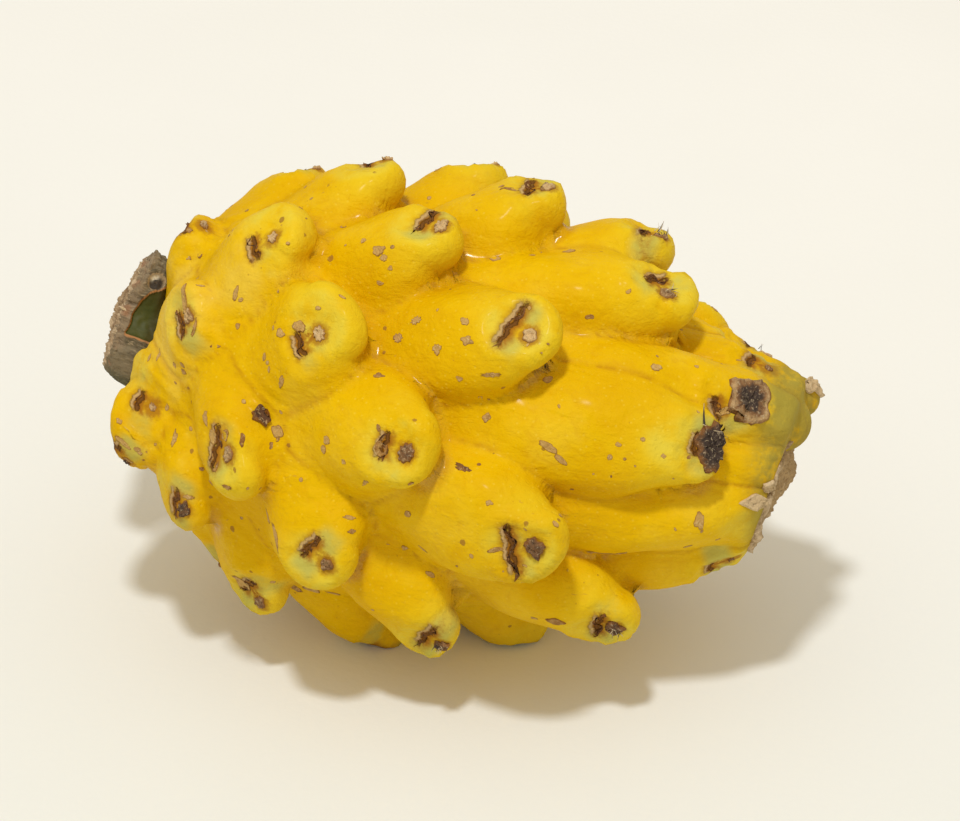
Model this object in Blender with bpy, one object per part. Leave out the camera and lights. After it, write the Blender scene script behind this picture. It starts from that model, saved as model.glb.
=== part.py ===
"""Yellow dragon fruit on its side, with its cut stem stub and its dried flower remains.

The fruit lies along X with the stem end at low X and rests on the plane Z = 0. Lengths are in
millimetres and angles in degrees until a mesh is written, which is in metres. A place on the skin is
a station, measured along X from the cut face of the stem, and an angle, turned from the top of the
fruit toward -Y.
"""

import math

import bmesh
import bpy
import numpy as np

MM = 0.001

# Plain skin under the tubercles: a string of balls along the axis, full size up to the first
# station and shrinking with a power of the distance to the last
STEM_BALL_STATION = 37.2
BLOSSOM_BALL_STATION = 88.0
STEM_BALL_RADIUS = 28.8
BLOSSOM_BALL_RADIUS = 12.5
SHRINK_POWER = 3.0

# A tubercle is a string of balls from a root sunk in the skin to its tip ball
ROOT_RADIUS = 5.0
ROOT_PROUD = 0.5
BODY_RADIUS = 7.2
TIP_RADIUS = 4.4
CREST_ARC = 60.0
BLEND = 0.9
FACET_TURN = 25.0
FACET_CUT = 1.7
FACET_SOFT = 1.0
WAVE_DEPTH = 0.35

# The blossom scar cuts the last tips off in one plane that leans with the lower edge back
SCAR_STATION = 101.8
SCAR_TILT = 14.0

# The stem end leans back and up, away from the axis
LEAN_END = 45.0
LEAN_BACK = 5.5
LEAN_UP = 6.5

# Where the axis stands in the row frame
AXIS_SHIFT_X = -52.0
AXIS_SHIFT_Y = 0.0
AXIS_HEIGHT = 34.0

# Tubercles that the photograph shows: station and angle of the root, station and angle of the tip
# ball, half width, and the distance of the tip's crest from the axis
SEEN_TUBERCLES = (
    (9.5, -4, 13.5, -4, 7.5, 22.8),
    (9.5, 60, 18.5, 43, 8.6, 27.4),
    (15.0, 68, 10.5, 82, 6.8, 17.4),
    (10.0, 98, 8.4, 104, 7.4, 24.8),
    (12.0, -22, 27.0, -27, 7.8, 33.5),
    (18.0, 33, 30.0, 15, 8.6, 36.4),
    (15.0, 92, 18.5, 108, 6.6, 30.2),
    (22.5, 62, 28.5, 81, 7.4, 35.2),
    (13.0, 128, 20.0, 146, 7.0, 29.5),
    (26.0, -6, 39.5, -13, 8.0, 38.0),
    (31.0, 52, 40.5, 39, 9.6, 37.8),
    (35.5, 86, 42.0, 101, 8.8, 37.8),
    (24.0, 112, 29.0, 130, 7.6, 35.0),
    (40.0, -33, 52.5, -34, 7.8, 38.6),
    (37.0, 10, 51.5, 12, 8.6, 38.3),
    (39.0, 61, 54.0, 67, 9.4, 38.3),
    (43.0, 110, 56.5, 123, 8.0, 38.0),
    (32.0, 146, 44.0, 161, 7.4, 38.7),
    (48.0, -9, 63.5, -14, 8.0, 37.8),
    (48.0, 38, 68.5, 35, 8.8, 37.2),
    (50.0, 82, 72.5, 88, 9.6, 36.6),
    (53.0, 162, 64.5, 172, 7.8, 36.5),
    (62.0, -19, 79.5, -20, 7.0, 32.6),
    (58.0, 9, 84.5, 2, 7.6, 28.8),
    (58.0, 56, 92.0, 58, 9.0, 24.5),
    (60.0, 114, 81.5, 125, 7.2, 32.0),
    (78.0, -30, 92.5, -26, 5.4, 16.3),
    (82.0, -8, 105.0, -2, 5.2, 12.2),
    (68.0, 33, 103.5, 30, 6.2, 14.8),
    (82.0, 66, 103.0, 64, 5.2, 13.0),
    (66.0, 88, 102.0, 103, 6.6, 14.5),
    (72.0, 128, 96.0, 130, 6.0, 18.5),
)

# The hidden ribs behind and below follow the same rule: the tips of a rib stand a whole step
# apart and those of the next rib half a step on
HIDDEN_RIBS = 5
HIDDEN_RIB_START = 196.0
HIDDEN_RIB_TURN = 26.5
FIRST_ROOT = 10.0
TIP_STATIONS = (14.0, 27.0, 40.0, 53.0, 67.0, 80.0, 92.0, 102.0)
TIP_CRESTS = (25.0, 34.0, 37.5, 38.2, 37.0, 28.0, 17.5, 13.0)
RIB_HALF_WIDTH = 8.4
FINGER_HALF_WIDTH = 5.8

# Grid of the fruit's surface, and the fan of rays that finds it: shares along the grid, where
# the rays start on the axis and their pitch from it. The grid is fine enough for overhanging tips,
# and a modifier then keeps the stated share of its faces
AROUND = 176
ALONG = 108
FAN_SHARES = (0.0, 0.26, 0.78, 1.0)
FAN_STARTS = (19.0, 19.0, 82.0, 84.0)
FAN_PITCHES = (180.0, 76.0, 56.0, 0.0)
WALK_STEPS = 60
SLOPE_STEP = 0.05
OUTSIDE = 62.0
EVEN_ROUNDS = 12
EVEN_SHARE = 0.6
KEPT_FACES = 0.25

# Stem stub: three ribs with hollow faces between them, thinner at its foot on the fruit's stem pole.
# The foot and the headings are in the row frame
STUB_FOOT = (-45.9, 4.8, 40.2)
STUB_HEADING = (-0.93, -0.12, 0.35)
STUB_FACE = (0.2, -0.82, 0.53)
STUB_LENGTH = 6.0
STUB_RIB_REACH = 10.6
STUB_FACE_DEPTH = 4.4
STUB_RIB_SPREAD = 27.0
STUB_FOOT_SHARE = 0.4
STUB_ROWS = ((0.0, 0.0), (0.0, 0.5), (0.0, 0.9), (0.06, 1.0), (0.3, 1.0), (0.6, 1.0), (0.88, 1.0),
             (0.98, 0.97), (1.0, 0.9), (0.97, 0.6), (0.99, 0.3), (0.96, 0.0))
STUB_AROUND = 42

# Flower remains: a thin domed pad with a wavy rim on the blossom scar
PAD_GAP = 0.35
PAD_REACH = 11.2
PAD_WAVE = 0.7
PAD_CURL = 0.5
PAD_ROWS = ((0.0, 0.0), (0.0, 0.5), (0.0, 0.93), (0.4, 1.0), (0.9, 1.0), (1.3, 0.93), (1.6, 0.8),
            (1.9, 0.55), (2.0, 0.3), (2.0, 0.0))
PAD_AROUND = 44


def ball_radius(station):
    """Radius of the plain skin's ball centred on the axis at a station between the end balls."""
    share = (station - STEM_BALL_STATION) / (BLOSSOM_BALL_STATION - STEM_BALL_STATION)
    return STEM_BALL_RADIUS + (BLOSSOM_BALL_RADIUS - STEM_BALL_RADIUS) * share**SHRINK_POWER


def above_skin(station, angle, height):
    """Point at a height above the plain skin, square to it, before the stem end leans."""
    centre = min(max(station, STEM_BALL_STATION), BLOSSOM_BALL_STATION)
    radius = ball_radius(centre)
    ahead = station - centre
    away = math.sqrt(radius**2 - ahead**2)
    turn = math.radians(angle)
    square = np.array((ahead, -away * math.sin(turn), away * math.cos(turn))) / radius
    return np.array((centre, 0.0, 0.0)) + square * (radius + height)


def hidden_tubercles():
    """Rows for the ribs that the photograph does not show, in the same order of values."""
    rows = []
    steps = np.arange(len(TIP_STATIONS)) / 2.0
    for rib in range(HIDDEN_RIBS):
        angle = HIDDEN_RIB_START + HIDDEN_RIB_TURN * rib
        first = 0.5 * ((rib + 1) % 2) + 0.06 * rib
        for place in np.arange(first, steps[-1] - 0.2, 1.0):
            tip = float(np.interp(place, steps, TIP_STATIONS))
            crest = float(np.interp(place, steps, TIP_CRESTS))
            root = float(np.interp(place - 0.55, steps, TIP_STATIONS)) if place > 0.55 else FIRST_ROOT
            wave = 3.0 * math.sin(2.4 * rib + 1.7 * place)
            rows.append((root, angle - 2.0, tip, angle + wave, RIB_HALF_WIDTH, crest))
        rows.append((80.0, angle + 4.0, TIP_STATIONS[-1], angle + 5.0, FINGER_HALF_WIDTH, TIP_CRESTS[-1]))
    return rows


def tubercle_frame(row):
    """Local frame of one tubercle: its root, axes along, across and out, its length and width."""
    root_station, root_angle, tip_station, tip_angle, half_width, crest = row
    root = above_skin(root_station, root_angle, ROOT_PROUD - ROOT_RADIUS)
    turn = math.radians(tip_angle)
    reach = crest - TIP_RADIUS
    tip = np.array((tip_station, -reach * math.sin(turn), reach * math.cos(turn)))
    length = float(np.linalg.norm(tip - root))
    heading = (tip - root) / length
    centre = min(max(0.5 * (root_station + tip_station), STEM_BALL_STATION), BLOSSOM_BALL_STATION)
    outward = 0.5 * (root + tip) - (centre, 0.0, 0.0)
    outward -= heading * np.dot(outward, heading)
    outward /= np.linalg.norm(outward)
    axes = np.stack((heading, np.cross(outward, heading), outward), axis=1)
    return root, axes, length, half_width / BODY_RADIUS


def tubercle_distance(points, frame):
    """Distance to a string of balls that swells toward the middle and is cut by a flat facet."""
    root, axes, length, wide = frame
    local = (points - root) @ axes
    share = np.clip(local[:, 0] / length, 0.0, 1.0)
    hump = 4.0 * share * (1.0 - share)
    swell = BODY_RADIUS - 0.5 * (ROOT_RADIUS + TIP_RADIUS)
    radius = ROOT_RADIUS + (TIP_RADIUS - ROOT_RADIUS) * share + swell * hump
    ahead = local[:, 0] - share * length
    up = local[:, 2] - (length**2 / CREST_ARC / 8.0 - swell) * hump
    ball = np.sqrt(ahead**2 + (local[:, 1] / wide) ** 2 + up**2) - radius
    turn = math.radians(FACET_TURN)
    facet = (local[:, 0] - length) * math.sin(turn) + local[:, 2] * math.cos(turn)
    facet = facet - (TIP_RADIUS - FACET_CUT)
    soft = np.clip(0.5 + 0.5 * (ball - facet) / FACET_SOFT, 0.0, 1.0)
    return facet + (ball - facet) * soft + 0.5 * FACET_SOFT * soft * (1.0 - soft)


def skin_distance(points, frames):
    """Distance to the whole fruit: plain skin and tubercles in one smooth union."""
    centre = np.clip(points[:, 0], STEM_BALL_STATION, BLOSSOM_BALL_STATION)
    away = np.sqrt((points[:, 0] - centre) ** 2 + points[:, 1] ** 2 + points[:, 2] ** 2)
    total = np.exp((ball_radius(centre) - away) / BLEND)
    for frame in frames:
        total += np.exp(-tubercle_distance(points, frame) / BLEND)
    x, y, z = points.T
    wave = np.sin(0.37 * x + 0.61 * y + 1.0) + np.sin(0.52 * y - 0.43 * z + 2.0) + np.sin(0.47 * z - 0.29 * x)
    joined = -BLEND * np.log(total) + WAVE_DEPTH * wave / 2.0
    tilt = math.radians(SCAR_TILT)
    scar = (points[:, 0] - SCAR_STATION) * math.cos(tilt) - points[:, 2] * math.sin(tilt)
    return np.maximum(joined, scar)


def walk_in(origin, ray, frames):
    """Points where rays from the axis last leave the fruit, found by walking in from outside."""
    reach = np.full(len(ray), OUTSIDE)
    for _ in range(WALK_STEPS):
        reach -= 0.7 * skin_distance(origin + ray * reach[:, None], frames)
    return origin + ray * reach[:, None]


def settle(points, frames):
    """Points moved onto the skin along the slope of the distance."""
    here = skin_distance(points, frames)
    slope = np.empty_like(points)
    for axis in range(3):
        beside = points.copy()
        beside[:, axis] += SLOPE_STEP
        slope[:, axis] = (skin_distance(beside, frames) - here) / SLOPE_STEP
    return points - slope * (here / np.maximum((slope**2).sum(axis=1), 0.2))[:, None]


def fruit_grid(around, along, frames):
    """Skin points in rows from the stem pole to the blossom pole, each row once round the axis.

    Rays fan from the axis and lean toward the blossom in between. Where a tip overhangs, they
    leave long gaps, so the grid is evened out in rounds: each point moves toward the mean of its
    four neighbours and is set back on the skin. Last, the stem end is leant back and up.
    """
    share = np.repeat(np.linspace(0.0, 1.0, along + 1), around)
    turn = np.tile(np.arange(around) * 2.0 * math.pi / around, along + 1)
    pitch = np.radians(np.interp(share, FAN_SHARES, FAN_PITCHES))
    ray = np.stack(
        (np.cos(pitch), -np.sin(pitch) * np.sin(turn), np.sin(pitch) * np.cos(turn)), axis=1
    )
    origin = np.zeros_like(ray)
    origin[:, 0] = np.interp(share, FAN_SHARES, FAN_STARTS)
    grid = walk_in(origin, ray, frames).reshape(along + 1, around, 3)
    for _ in range(EVEN_ROUNDS):
        sides = np.roll(grid, 1, axis=1) + np.roll(grid, -1, axis=1)
        mean = (sides[1:-1] + grid[:-2] + grid[2:]) / 4.0
        moved = grid[1:-1] + EVEN_SHARE * (mean - grid[1:-1])
        grid[1:-1] = settle(moved.reshape(-1, 3), frames).reshape(moved.shape)
    lean = np.clip((LEAN_END - grid[:, :, 0]) / LEAN_END, 0.0, None) ** 2
    grid[:, :, 1] += LEAN_BACK * lean
    grid[:, :, 2] += LEAN_UP * lean
    return grid + (AXIS_SHIFT_X, AXIS_SHIFT_Y, AXIS_HEIGHT)


def plain_material(name, colour, roughness):
    material = bpy.data.materials.new(name)
    material.use_nodes = True
    shader = material.node_tree.nodes["Principled BSDF"]
    shader.inputs["Base Color"].default_value = (*colour, 1.0)
    shader.inputs["Roughness"].default_value = roughness
    shader.inputs["Metallic"].default_value = 0.0
    return material


def new_collection(name):
    collection = bpy.data.collections.new(name)
    bpy.context.scene.collection.children.link(collection)
    return collection


def ball_object(name, collection, grid):
    """UV sphere whose rings are laid on the rows of a grid of points in millimetres."""
    rows, around = grid.shape[0] - 1, grid.shape[1]
    form = bmesh.new()
    bmesh.ops.create_uvsphere(form, u_segments=around, v_segments=rows, radius=1.0)
    for vertex in form.verts:
        turn = math.atan2(vertex.co.x, vertex.co.y) / (2.0 * math.pi)
        row = round(math.acos(max(-1.0, min(1.0, -vertex.co.z))) / math.pi * rows)
        vertex.co = grid[row, round(turn * around) % around] * MM
    bmesh.ops.recalc_face_normals(form, faces=form.faces)
    mesh = bpy.data.meshes.new(name)
    form.to_mesh(mesh)
    form.free()
    mesh.shade_smooth()
    thing = bpy.data.objects.new(name, mesh)
    collection.objects.link(thing)
    return thing


def make_fruit(collection, cutters):
    frames = [tubercle_frame(row) for row in SEEN_TUBERCLES + tuple(hidden_tubercles())]
    fruit = ball_object("fruit", collection, fruit_grid(AROUND, ALONG, frames))
    fruit.data.materials.append(plain_material("fruit_skin", (0.85, 0.50, 0.01), 0.4))
    floor = bmesh.new()
    bmesh.ops.create_cube(floor, size=200.0 * MM)
    bmesh.ops.translate(floor, verts=floor.verts, vec=(0.0, 0.0, -100.0 * MM))
    mesh = bpy.data.meshes.new("floor_cutter")
    floor.to_mesh(mesh)
    floor.free()
    cutter = bpy.data.objects.new("floor_cutter", mesh)
    cutter.display_type = "WIRE"
    cutter.hide_render = True
    cutters.objects.link(cutter)
    thinned = fruit.modifiers.new("fewer_faces", "DECIMATE")
    thinned.ratio = KEPT_FACES
    rest = fruit.modifiers.new("rest_flats", "BOOLEAN")
    rest.operation = "DIFFERENCE"
    rest.object = cutter
    return fruit


def unit(vector):
    return np.array(vector) / np.linalg.norm(vector)


def stub_grid(around):
    """Rows round the stub: its reach swells at three ribs a third of a turn apart."""
    heading = unit(STUB_HEADING)
    front = unit(STUB_FACE - heading * np.dot(STUB_FACE, heading))
    side = np.cross(heading, front)
    along, share = np.array(STUB_ROWS).T
    turn = np.arange(around) * 2.0 * math.pi / around
    off_rib = (np.degrees(turn) + 120.0) % 120.0 - 60.0
    reach = STUB_FACE_DEPTH + (STUB_RIB_REACH - STUB_FACE_DEPTH) * np.exp(-((off_rib / STUB_RIB_SPREAD) ** 2))
    width = STUB_FOOT_SHARE + (1.0 - STUB_FOOT_SHARE) * np.sqrt(np.clip(along, 0.0, 1.0))
    out = (share * width)[:, None, None] * reach[None, :, None]
    spoke = np.cos(turn)[:, None] * front + np.sin(turn)[:, None] * side
    return np.array(STUB_FOOT) + along[:, None, None] * STUB_LENGTH * heading + out * spoke


def pad_grid(around):
    """Rows round the dried pad, laid along the scar plane and raised off it."""
    tilt = math.radians(SCAR_TILT)
    outward = np.array((math.cos(tilt), 0.0, -math.sin(tilt)))
    up = np.array((math.sin(tilt), 0.0, math.cos(tilt)))
    side = np.array((0.0, -1.0, 0.0))
    raised, share = np.array(PAD_ROWS).T
    turn = np.arange(around) * 2.0 * math.pi / around
    reach = PAD_REACH + PAD_WAVE * (np.cos(5.0 * turn + 0.6) + 0.6 * np.cos(8.0 * turn + 2.0))
    out = share[:, None, None] * reach[None, :, None]
    spoke = np.cos(turn)[:, None] * up + np.sin(turn)[:, None] * side
    centre = np.array((SCAR_STATION, 0.0, 0.0)) + outward * PAD_GAP
    curl = PAD_CURL * share[:, None] ** 3 * (0.5 + 0.5 * np.cos(4.0 * turn + 1.0))
    grid = centre + (raised[:, None] + curl)[:, :, None] * outward + out * spoke
    return grid + (AXIS_SHIFT_X, AXIS_SHIFT_Y, AXIS_HEIGHT)


def make_stem_stub(collection):
    stub = ball_object("stem_stub", collection, stub_grid(STUB_AROUND))
    stub.data.materials.append(plain_material("stem_cork", (0.30, 0.24, 0.17), 0.85))
    return stub


def make_flower_remnant(collection):
    pad = ball_object("flower_remnant", collection, pad_grid(PAD_AROUND))
    pad.data.materials.append(plain_material("dried_flower", (0.50, 0.38, 0.24), 0.9))
    return pad


def main():
    for thing in list(bpy.data.objects):
        bpy.data.objects.remove(thing)
    collection = new_collection("yellow_dragon_fruit")
    cutters = new_collection("cutters")
    make_fruit(collection, cutters)
    make_stem_stub(collection)
    make_flower_remnant(collection)


main()
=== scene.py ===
"""Yellow dragon fruit lying on its side: skin, scabs, stem stub and dried flower, with floor and light.

Shapes are worked out in millimetres on the fruit's own axis and put in the row frame at the end. A
place on the skin is a station, measured along the axis from the stem, and an angle, turned from the
top of the fruit toward the side that faces the camera.
"""

import math

import bmesh
import bpy
import numpy as np
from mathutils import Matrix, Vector


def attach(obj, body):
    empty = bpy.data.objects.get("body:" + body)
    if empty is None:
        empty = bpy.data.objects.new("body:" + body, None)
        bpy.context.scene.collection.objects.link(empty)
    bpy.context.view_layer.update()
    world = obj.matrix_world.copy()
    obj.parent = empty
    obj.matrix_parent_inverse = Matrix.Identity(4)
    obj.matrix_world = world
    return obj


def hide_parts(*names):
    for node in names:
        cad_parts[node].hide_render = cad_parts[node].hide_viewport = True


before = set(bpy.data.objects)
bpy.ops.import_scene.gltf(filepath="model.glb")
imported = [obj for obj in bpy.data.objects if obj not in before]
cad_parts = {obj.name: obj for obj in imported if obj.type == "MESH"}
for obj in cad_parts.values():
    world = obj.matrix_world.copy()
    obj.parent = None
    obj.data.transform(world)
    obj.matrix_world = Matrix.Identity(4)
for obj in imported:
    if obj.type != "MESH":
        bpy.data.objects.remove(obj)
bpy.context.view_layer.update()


# The fruit. It grew as one piece: a long body under overlapping rows of blunt tubercles, each
# swelling slowly from the stem side and ending in a steep rounded lip with a scab just short of it.
# The last tubercles close round the blossom end like fingers and are cut off in one plane there.
STEM_BALL_STATION = 37.2
BLOSSOM_BALL_STATION = 88.0
STEM_BALL_RADIUS = 28.8
BLOSSOM_BALL_RADIUS = 12.5
SHRINK_POWER = 3.0

# A tubercle is balls strung along a bow from root to tip, with a facet pared off at the tip
ROOT_RADIUS = 5.0
ROOT_PROUD = 0.5
BODY_RADIUS = 7.2
TIP_RADIUS = 4.4
CREST_ARC = 60.0
BLEND = 0.7
FACET_TURN = math.radians(25.0)
FACET_CUT = 1.7
FACET_SOFT = 1.0
WAVE_DEPTH = 0.35
NEAR_REACH = 17.0

# The scar's plane, and two fingers that reach past it, each with its start, end and radius
SCAR_STATION = 101.8
SCAR_TILT = math.radians(14.0)
SCAR_SOFT = 2.4
FINGER_ENDS = (((96.0, -5.0, 8.0), (102.2, -1.0, 6.3), 3.9), ((97.0, 3.6, 8.2), (103.5, 6.0, 6.4), 2.7))
DEEP_INSIDE = -20.0

# Folds beside the creases, then the dish, ridge, puckers and groove of a scab
FOLD_DEPTH = 0.22
FOLD_STEP = 1.5
FOLD_FADE = 1.8
SCAB_REACH = 10.0
DENT_DEPTH = 0.7
DENT_REACH = 3.6
RIDGE_HEIGHT = 0.42
RIDGE_REACH = 4.8
RIDGE_WIDTH = 0.8
PUCKER_DEPTH = 0.13
PUCKER_REACH = 3.0
PUCKER_WIDTH = 1.6
CRACK_DEPTH = 0.35
CRACK_WIDTH = 0.7

# The skin is found by walking in along rays, by part of the distance left, or down its own slope
WALK_START = 62.0
WALK_STEPS = 60
WALK_SHARE = 0.7
SLOPE_STEP = 0.05
LEAST_SLOPE = 0.2
SETTLE_ROUNDS = 3

# How the stem end leans off the axis, and where the axis lies in the row frame
LEAN_END = 45.0
LEAN_BACK = 5.5
LEAN_UP = 6.5
AXIS_PLACE = np.array((-52.0, 0.0, 34.0))

# Root station and angle, tip station and angle, half width, crest of the tip from the axis
SEEN_TUBERCLES = (
    (9.5, -4, 13.5, -4, 7.5, 22.8),
    (9.5, 60, 18.5, 43, 8.6, 27.4),
    (15.0, 68, 10.5, 82, 6.8, 17.4),
    (10.0, 98, 8.4, 104, 7.4, 24.8),
    (12.0, -22, 27.0, -27, 7.8, 33.5),
    (18.0, 33, 30.0, 15, 8.6, 36.4),
    (15.0, 92, 18.5, 108, 6.6, 30.2),
    (22.5, 62, 28.5, 81, 7.4, 35.2),
    (13.0, 128, 20.0, 146, 7.0, 29.5),
    (26.0, -6, 39.5, -13, 8.0, 38.0),
    (31.0, 52, 40.5, 39, 9.6, 37.8),
    (35.5, 86, 42.0, 101, 8.8, 37.8),
    (24.0, 112, 29.0, 130, 7.6, 35.0),
    (40.0, -33, 52.5, -34, 7.8, 38.6),
    (37.0, 10, 51.5, 12, 8.6, 38.3),
    (39.0, 61, 54.0, 67, 9.4, 38.3),
    (43.0, 110, 56.5, 123, 8.0, 38.0),
    (32.0, 146, 44.0, 161, 7.4, 38.7),
    (48.0, -9, 63.5, -14, 8.0, 37.8),
    (48.0, 38, 68.5, 35, 8.8, 37.2),
    (50.0, 82, 72.5, 88, 9.6, 36.6),
    (53.0, 162, 64.5, 172, 7.8, 36.5),
    (62.0, -19, 79.5, -20, 7.0, 32.6),
    (58.0, 9, 84.5, 2, 7.6, 28.8),
    (58.0, 56, 92.0, 58, 9.0, 24.5),
    (60.0, 114, 81.5, 125, 7.2, 32.0),
    (78.0, -30, 92.5, -26, 5.4, 16.3),
    (82.0, -8, 105.0, -2, 5.2, 12.2),
    (68.0, 33, 103.5, 30, 6.2, 14.8),
    (82.0, 66, 103.0, 64, 5.2, 13.0),
    (66.0, 88, 102.0, 103, 6.6, 14.5),
    (72.0, 128, 96.0, 130, 6.0, 18.5),
)

# Unseen ribs, from one angle on round the axis. The stations and crests of tips are given for each
# half step along a rib, and a root lies ROOT_BEHIND steps behind its tip
HIDDEN_RIBS = 5
HIDDEN_RIB_START = 196.0
HIDDEN_RIB_TURN = 26.5
HIDDEN_RIB_WAVE = 3.0
FIRST_ROOT = 10.0
FINGER_ROOT = 80.0
ROOT_BEHIND = 0.55
TIP_STATIONS = (14.0, 27.0, 40.0, 53.0, 67.0, 80.0, 92.0, 102.0)
TIP_CRESTS = (25.0, 34.0, 37.5, 38.2, 37.0, 28.0, 17.5, 13.0)
RIB_HALF_WIDTH = 8.4
FINGER_HALF_WIDTH = 5.8


def ball_radius(station):
    """Radius of the plain body: full size, less a cube of the way from the stem ball to the last."""
    share = (station - STEM_BALL_STATION) / (BLOSSOM_BALL_STATION - STEM_BALL_STATION)
    return STEM_BALL_RADIUS + (BLOSSOM_BALL_RADIUS - STEM_BALL_RADIUS) * share**SHRINK_POWER


def above_skin(station, angle, height):
    """Point at a height over the plain body, along the line from its ball's centre."""
    centre = min(max(station, STEM_BALL_STATION), BLOSSOM_BALL_STATION)
    radius = ball_radius(centre)
    ahead = station - centre
    away = math.sqrt(radius**2 - ahead**2)
    turn = math.radians(angle)
    square = np.array((ahead, -away * math.sin(turn), away * math.cos(turn))) / radius
    return np.array((centre, 0.0, 0.0)) + square * (radius + height)


def hidden_tubercles():
    """Rows of the unseen ribs: tips a whole step apart, and half a step on from rib to rib."""
    rows = []
    steps = np.arange(len(TIP_STATIONS)) / 2.0
    for rib in range(HIDDEN_RIBS):
        angle = HIDDEN_RIB_START + HIDDEN_RIB_TURN * rib
        first = 0.5 * ((rib + 1) % 2) + 0.06 * rib
        for place in np.arange(first, steps[-1] - 0.2, 1.0):
            tip = float(np.interp(place, steps, TIP_STATIONS))
            crest = float(np.interp(place, steps, TIP_CRESTS))
            root = FIRST_ROOT
            if place > ROOT_BEHIND:
                root = float(np.interp(place - ROOT_BEHIND, steps, TIP_STATIONS))
            wave = HIDDEN_RIB_WAVE * math.sin(2.4 * rib + 1.7 * place)
            rows.append((root, angle - 2.0, tip, angle + wave, RIB_HALF_WIDTH, crest))
        rows.append((FINGER_ROOT, angle + 4.0, TIP_STATIONS[-1], angle + 5.0, FINGER_HALF_WIDTH,
                     TIP_CRESTS[-1]))
    return rows


def tubercle_frame(row):
    """Root of a tubercle, its axes along, across and out, its length and its widening."""
    root_station, root_angle, tip_station, tip_angle, half_width, crest = row
    root = above_skin(root_station, root_angle, ROOT_PROUD - ROOT_RADIUS)
    turn = math.radians(tip_angle)
    reach = crest - TIP_RADIUS
    tip = np.array((tip_station, -reach * math.sin(turn), reach * math.cos(turn)))
    length = float(np.linalg.norm(tip - root))
    heading = (tip - root) / length
    centre = min(max(0.5 * (root_station + tip_station), STEM_BALL_STATION), BLOSSOM_BALL_STATION)
    outward = 0.5 * (root + tip) - (centre, 0.0, 0.0)
    outward -= heading * np.dot(outward, heading)
    outward /= np.linalg.norm(outward)
    axes = np.stack((heading, np.cross(outward, heading), outward), axis=1)
    return root, axes, length, half_width / BODY_RADIUS


tubercles = [tubercle_frame(row) for row in SEEN_TUBERCLES + tuple(hidden_tubercles())]


def ball_and_facet(points, tubercle):
    """Distances to the balls strung from root to tip, which swell midway, and to the tip's facet."""
    root, axes, length, wide = tubercle
    local = (points - root) @ axes
    share = np.clip(local[:, 0] / length, 0.0, 1.0)
    hump = 4.0 * share * (1.0 - share)
    swell = BODY_RADIUS - 0.5 * (ROOT_RADIUS + TIP_RADIUS)
    radius = ROOT_RADIUS + (TIP_RADIUS - ROOT_RADIUS) * share + swell * hump
    ahead = local[:, 0] - share * length
    up = local[:, 2] - (length**2 / CREST_ARC / 8.0 - swell) * hump
    ball = np.sqrt(ahead**2 + (local[:, 1] / wide) ** 2 + up**2) - radius
    facet = (local[:, 0] - length) * math.sin(FACET_TURN) + local[:, 2] * math.cos(FACET_TURN)
    return ball, facet - (TIP_RADIUS - FACET_CUT)


def tubercle_distance(points, tubercle):
    """The larger of the distances to balls and facet, with a soft edge between the two."""
    ball, facet = ball_and_facet(points, tubercle)
    soft = np.clip(0.5 + 0.5 * (ball - facet) / FACET_SOFT, 0.0, 1.0)
    return facet + (ball - facet) * soft + 0.5 * FACET_SOFT * soft * (1.0 - soft)


def press_scabs(grown, points):
    """Adds to distances a dish, a three-cornered ridge, puckers and a groove at each scab."""
    for number, (place, axes) in enumerate(zip(scab_places, scab_axes)):
        near = np.flatnonzero(((points - place) ** 2).sum(axis=1) < SCAB_REACH**2)
        along, across, out = ((points[near] - place) @ axes).T
        reach, turn = np.hypot(0.85 * along, across), np.arctan2(across, along)
        grown[near] += DENT_DEPTH * np.exp(-(reach**2 + out**2) / DENT_REACH**2)
        shield = reach - 0.75 * np.cos(3.0 * turn + 0.5 * np.sin(2.1 * number))
        ridge = np.exp(-(((shield - RIDGE_REACH) / RIDGE_WIDTH) ** 2) - (out / 2.6) ** 2)
        grown[near] -= RIDGE_HEIGHT * ridge
        pucker = np.sin(7.0 * turn + 2.3 * number + 0.8 * along)
        pucker += 0.6 * np.sin(13.0 * turn + 1.1 * number - 0.6 * across)
        ring = np.exp(-(((reach - PUCKER_REACH) / PUCKER_WIDTH) ** 2) - (out / 3.0) ** 2)
        grown[near] += PUCKER_DEPTH * pucker * ring
        middle, half = along + scab_gaps[number], crack_halves[number]
        groove = np.exp(-((middle / CRACK_WIDTH) ** 2) - (across / half) ** 4 - (out / 3.0) ** 2)
        grown[near] += CRACK_DEPTH * groove


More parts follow.
